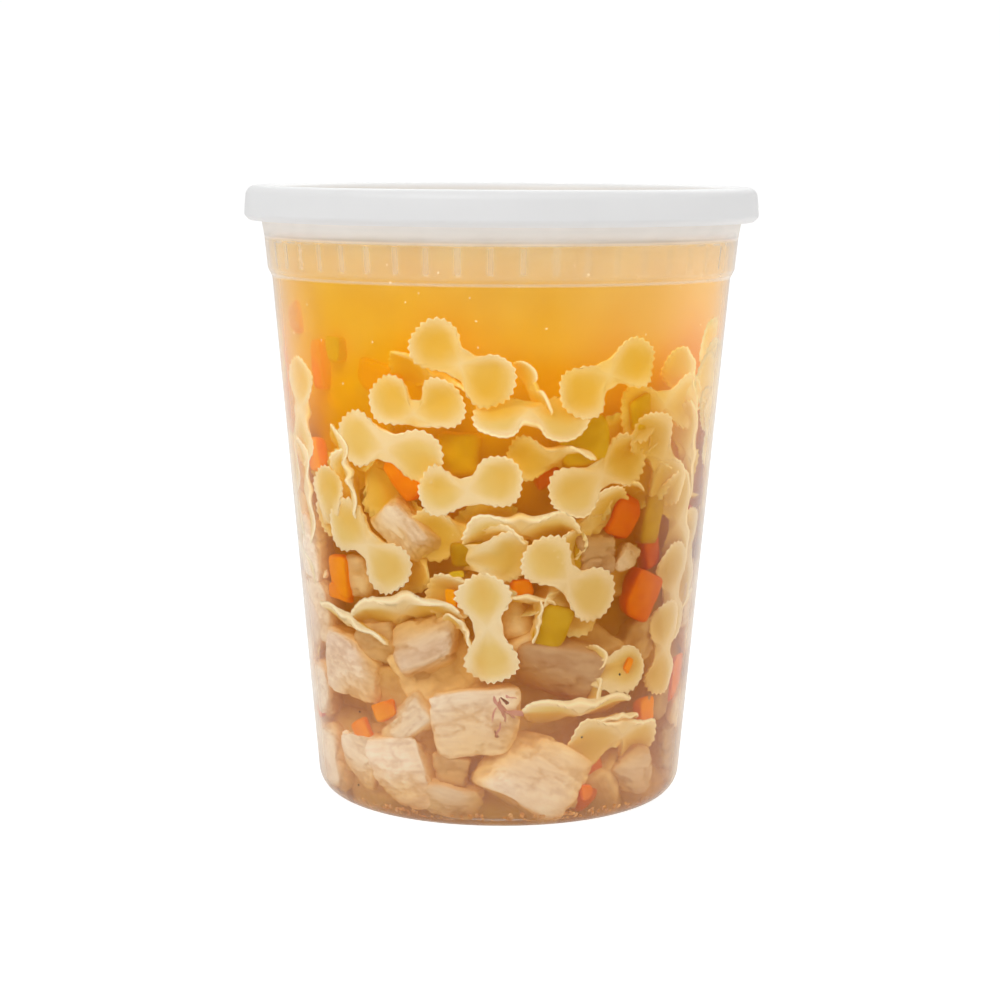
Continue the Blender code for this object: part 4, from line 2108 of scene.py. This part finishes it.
def celery(draw: random.Random) -> Chunks:
    """The celery, cut across its stalks.

    Args:
        draw: The seeded source.

    Returns:
        The pieces.
    """
    rows = (
        (15.6, 46.9, 3.6, (3.7, 5.0, 2.6), -16, 0, 0, 1.05, 0.3),
        (-8.6, 63.4, 3.8, (4.0, 2.6, 2.0), 4, 0, 0, 1.0, -0.4),
        (22.8, 88.6, 4.6, (5.4, 5.8, 3.0), 8, 0, 0, 1.0, 0.5),
        (39.7, 94.4, 4.2, (2.8, 4.4, 2.0), 8, 0, 0, 1.0, 0.7),
        (48.2, 70.9, 4.8, (2.9, 7.0, 2.4), -8, 0, 0, 1.0, 0.4),
        (22.2, 62.4, 3.4, (1.2, 4.2, 1.4), -6, 0, 0, 1.0, 0.2),
        (-11.4, 85.6, 6.4, (4.6, 4.8, 2.4), 0, 0, 0, 1.0, 0.5),
        (-52.0, 107.4, 7.6, (2.2, 2.8, 1.6), 0, 0, 0, 1.0, 0.6),
        (-11.5, 58.8, 2.0, (1.7, 0.9, 0.8), 10, 0, 0, 1.0, 0.6),
    )
    front = [chunk(*row) for row in rows]
    back = drawn_chunks(draw, 14, (78.0, 282.0), (20.0, 102.0), (3.0, 5.0), (2.6, 5.0))
    return Chunks(
        Food.CELERY, "celery_pieces", front + back,
        cuts=2, subdivisions=4, swell=0.7 * MM, swell_scale=150.0,
        fibre=0.2 * MM, fibre_scale=500.0, arch=0.03 * MM,
    )


def scraps(
    food: Food,
    name: str,
    draw: random.Random,
    count: int,
    heights: Span,
    depths: Span,
    sizes: Span,
    placed: Sequence[Placement] = (),
) -> Chunks:
    """Tiny scraps of one kind, all round the tub.

    Args:
        food: What they are.
        name: The piece's name.
        draw: The seeded source.
        count: How many.
        heights: Their range of height, in millimetres.
        depths: Their range of depth, in millimetres.
        sizes: The range of their half lengths, in millimetres.
        placed: Scraps that are placed one by one.

    Returns:
        The scraps.
    """
    drawn = drawn_chunks(draw, count, (-180.0, 180.0), heights, depths, sizes)
    return Chunks(
        food, name, [*placed, *drawn],
        edge=4.0, cuts=0, subdivisions=3, swell=0.2 * MM, swell_scale=400.0,
        fibre=0.05 * MM, fibre_scale=900.0,
    )


def veins() -> Chunks:
    """The dark veins in one piece of chicken.

    Returns:
        The veins.
    """
    rows = (
        (0.9, 30.6, 0.5, (0.9, 1.4, 0.35), 24, 0, 0, 0.9, -1.5),
        (2.4, 28.6, 0.5, (0.4, 3.0, 0.3), 42, 0, 0, 0.9, 0.0),
        (-0.6, 30.4, 0.5, (0.34, 2.4, 0.3), 38, 0, 0, 0.9, 0.6),
        (0.9, 27.8, 0.5, (0.4, 2.6, 0.3), 10, 0, 0, 0.9, 0.2),
        (-1.4, 27.0, 0.5, (0.3, 2.0, 0.3), -16, 0, 0, 0.9, 0.8),
        (4.8, 27.4, 0.5, (0.44, 2.2, 0.3), 68, 0, 0, 0.9, 0.4),
        (3.2, 30.8, 0.5, (0.3, 2.0, 0.3), 60, 0, 0, 0.9, 0.9),
        (-0.8, 22.6, 0.5, (0.5, 1.0, 0.3), 30, 0, 0, 0.9, -1.0),
        (0.2, 23.8, 0.5, (0.3, 1.6, 0.3), -20, 0, 0, 0.9, 0.4),
    )
    return Chunks(
        Food.VEIN, "chicken_veins", [chunk(*row) for row in rows],
        edge=3.0, cuts=0, subdivisions=4, swell=1.3 * MM, swell_scale=330.0,
        fibre=0.1 * MM, fibre_scale=900.0,
    )


# ----------------------------------------
# The studio
# ----------------------------------------


@dataclass
class Softbox:
    """One large soft light, which faces the tub."""

    name: str
    place: tuple[float, float, float]
    width: float
    height: float
    power: float
    colour: tuple[float, float, float] = (1.0, 1.0, 1.0)

    def build(self, target: Vector) -> None:
        """Hangs the light at its place, turned to the target.

        Args:
            target: What it lights.
        """
        data = bpy.data.lights.new(self.name, "AREA")
        data.shape = "RECTANGLE"
        data.size = self.width
        data.size_y = self.height
        data.energy = self.power
        data.color = self.colour
        lamp = bpy.data.objects.new(self.name, data)
        lamp.location = self.place
        lamp.rotation_euler = (target - Vector(self.place)).to_track_quat("-Z", "Y").to_euler()
        bpy.context.scene.collection.objects.link(lamp)


@dataclass
class Studio:
    """A white room under soft light, and the camera.

    A screen behind the camera is darker than the room. It is wider as mirrors show it. Its turn, halves and
    fades are in degrees round the tub, and screen_top says where it ends, as a share of straight up.
    """

    camera_distance: float = 600.0 * MM
    camera_height: float = 152.0 * MM
    camera_pitch: float = 7.86
    camera_roll: float = 0.3
    lens: float = 92.1
    floor_size: float = 12.0
    fill: float = 0.62
    dim: float = 0.05
    screen_turn: float = 8.0
    screen_half: float = 34.0
    screen_fade: float = 80.0
    mirror_half: float = 80.0
    mirror_fade: float = 125.0
    screen_top: Span = (0.45, 0.7)
    white: float = 1.02
    floor_tone: float = 0.93
    floor_glow: float = 1.25
    floor_lift: float = 0.75
    floor_screened: Span = (0.06, 0.15)
    aim: tuple[float, float, float] = (0.0, 0.0, 0.07)
    softboxes: tuple[Softbox, ...] = (
        Softbox("key", (-0.55, -0.85, 0.95), 0.7, 0.7, 6.8),
        Softbox("right", (0.95, -0.35, 0.45), 0.5, 0.9, 1.8),
        Softbox("back", (0.1, 0.9, 0.8), 0.9, 0.6, 3.0),
    )

    def build(self) -> None:
        """Sets up the room, the lights and the camera."""
        self.build_world()
        self.build_floor()
        for softbox in self.softboxes:
            softbox.build(Vector(self.aim))
        self.build_camera()
        scene = bpy.context.scene
        scene.view_settings.view_transform = "Standard"
        scene.view_settings.look = "None"
        scene.cycles.transparent_max_bounces = 24
        scene.cycles.diffuse_bounces = 2
        scene.cycles.glossy_bounces = 3
        scene.cycles.transmission_bounces = 10
        scene.cycles.max_bounces = 12

    def build_world(self) -> None:
        """White all round for the camera, dimmer as a light, with the dark screen behind the camera."""
        world = bpy.data.worlds.new("white_room")
        world.use_nodes = True
        bpy.context.scene.world = world
        room = Graph(world.node_tree)
        x, y, z = room.parts(room.wire(room.node("ShaderNodeTexCoord"), "Generated"))
        aside = abs(room.math("ARCTAN2", x, y * -1.0) + math.radians(self.screen_turn))
        path = room.node("ShaderNodeLightPath")
        mirrored = room.wire(path, "Is Glossy Ray")
        half = mirrored * math.radians(self.mirror_half - self.screen_half) + math.radians(self.screen_half)
        fade = mirrored * math.radians(self.mirror_fade - self.screen_fade) + math.radians(self.screen_fade)
        screen = (1.0 - room.smoothly(aside, half, fade)) * (1.0 - room.smoothly(z, *self.screen_top))
        strength = screen * (self.dim - self.fill) + self.fill
        light = room.wire(room.node("ShaderNodeBackground", {}, {"Strength": strength}))
        white = room.wire(room.node("ShaderNodeBackground", {}, {"Strength": self.white}))
        for shade in (light, white):
            shade.socket.node.inputs["Color"].default_value = (1.0, 1.0, 1.0, 1.0)
        seen = room.wire(path, "Is Camera Ray")
        mixed = room.node("ShaderNodeMixShader", {}, {0: seen, 1: light, 2: white})
        output = world.node_tree.nodes["World Output"]
        world.node_tree.links.new(mixed.outputs[0], output.inputs["Surface"])

    def build_floor(self) -> None:
        """A plain white floor, which the camera sees a little brighter than it is lit."""
        paint = Paint("white_floor")
        tone = (self.floor_tone, self.floor_tone, self.floor_tone, 1.0)
        paint.set({"Base Color": tone, "Roughness": 0.8, "Specular IOR Level": 0.1})
        values = {"Color": (1.0, 1.0, 1.0, 1.0), "Strength": self.floor_glow}
        glow = paint.wire(paint.node("ShaderNodeEmission", {}, values))
        dark = paint.wire(paint.node("ShaderNodeBsdfDiffuse", {}, {"Color": (0.02, 0.02, 0.02, 1.0)}))
        path = paint.node("ShaderNodeLightPath")
        x, y, _ = paint.parts(paint.place())
        aside = abs(paint.math("ARCTAN2", x, y * -1.0) + math.radians(self.screen_turn))
        ahead = 1.0 - paint.smoothly(aside, math.radians(self.mirror_half), math.radians(self.mirror_fade))
        away = paint.smoothly(root(x * x + y * y), *self.floor_screened)
        screened = ahead * away * paint.wire(path, "Is Glossy Ray")
        plain = paint.mix_shaders(screened, paint.wire(paint.shader), dark)
        lifted = paint.mix_shaders(self.floor_lift, paint.wire(paint.shader), glow)
        paint.show(paint.mix_shaders(paint.wire(path, "Is Camera Ray"), plain, lifted))
        shape = bmesh.new()
        bmesh.ops.create_grid(shape, x_segments=4, y_segments=4, size=self.floor_size / 2.0)
        mesh = bpy.data.meshes.new("floor")
        shape.to_mesh(mesh)
        shape.free()
        mesh.materials.append(paint.material)
        floor = bpy.data.objects.new("floor", mesh)
        bpy.context.scene.collection.objects.link(floor)

    def build_camera(self) -> None:
        """The camera, a little above the lid and tipped down to the tub."""
        data = bpy.data.cameras.new("camera")
        data.lens = self.lens
        data.sensor_width = 36.0
        camera = bpy.data.objects.new("camera", data)
        camera.location = (0.0, -self.camera_distance, self.camera_height)
        tip = Euler((math.radians(90.0 - self.camera_pitch), 0.0, 0.0)).to_matrix()
        roll = Matrix.Rotation(math.radians(self.camera_roll), 3, "Z")
        camera.rotation_euler = (tip @ roll).to_euler()
        bpy.context.scene.collection.objects.link(camera)
        bpy.context.scene.camera = camera


# ----------------------------------------
# Assembly
# ----------------------------------------


def mount(piece: bpy.types.Object, node: str | None = None) -> None:
    """Joins a piece to the frame and reports it.

    Args:
        piece: The finished piece.
        node: The CAD node that it stands for.
    """
    if node is not None:
        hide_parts(node)
    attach(piece, BODY)
    triangles = sum(len(face.vertices) - 2 for face in piece.data.polygons)
    LOG.info("%s: %d triangles", piece.name, triangles)


def corners(box: Iterable[Vector]) -> list[list[float]]:
    """A box's two corners as plain lists."""
    return [list(corner) for corner in box]


def main() -> None:
    """Builds the studio, the tub, the lid and the soup, in that order."""
    logging.basicConfig(level=logging.INFO, format="%(message)s")
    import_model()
    draw = random.Random(DRAW_SEED)

    _, tub_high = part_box("container")
    _, lid_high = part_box("lid")
    _, soup_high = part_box("soup")
    Studio().build()

    mount(Tub(SIZES, round(tub_high.x, 5), tub_high.z).build(), "container")
    mount(Lid(LID_RADIUS, lid_high.z).build(), "lid")
    broth = Broth(SIZES, soup_high.z)
    mount(broth.build_clear(), "soup")
    mount(broth.build_cloud())
    mount(BowTiePasta().build(draw))
    mount(chicken(draw).build())
    mount(carrots(draw).build())
    mount(celery(draw).build())
    specks = (
        chunk(37.6, 34.6, 0.9, (0.34, 0.3, 0.2), fine=0.0),
        chunk(25.6, 21.0, 0.8, (0.2, 0.2, 0.2), fine=0.0),
    )
    pepper = scraps(Food.PEPPER, "pepper_specks", draw, 26, (6.0, 96.0), (2.0, 4.0), (0.12, 0.26), specks)
    mount(pepper.build())
    crumbs = scraps(Food.CRUMB, "bottom_crumbs", draw, 620, (1.2, 3.6), (0.3, 2.6), (0.2, 0.5))
    mount(crumbs.build())
    bubbles = scraps(Food.BUBBLE, "small_bubbles", draw, 60, (100.0, 130.0), (0.3, 0.9), (0.12, 0.28))
    mount(bubbles.build())
    mount(veins().build())


if __name__ == "__main__":
    main()
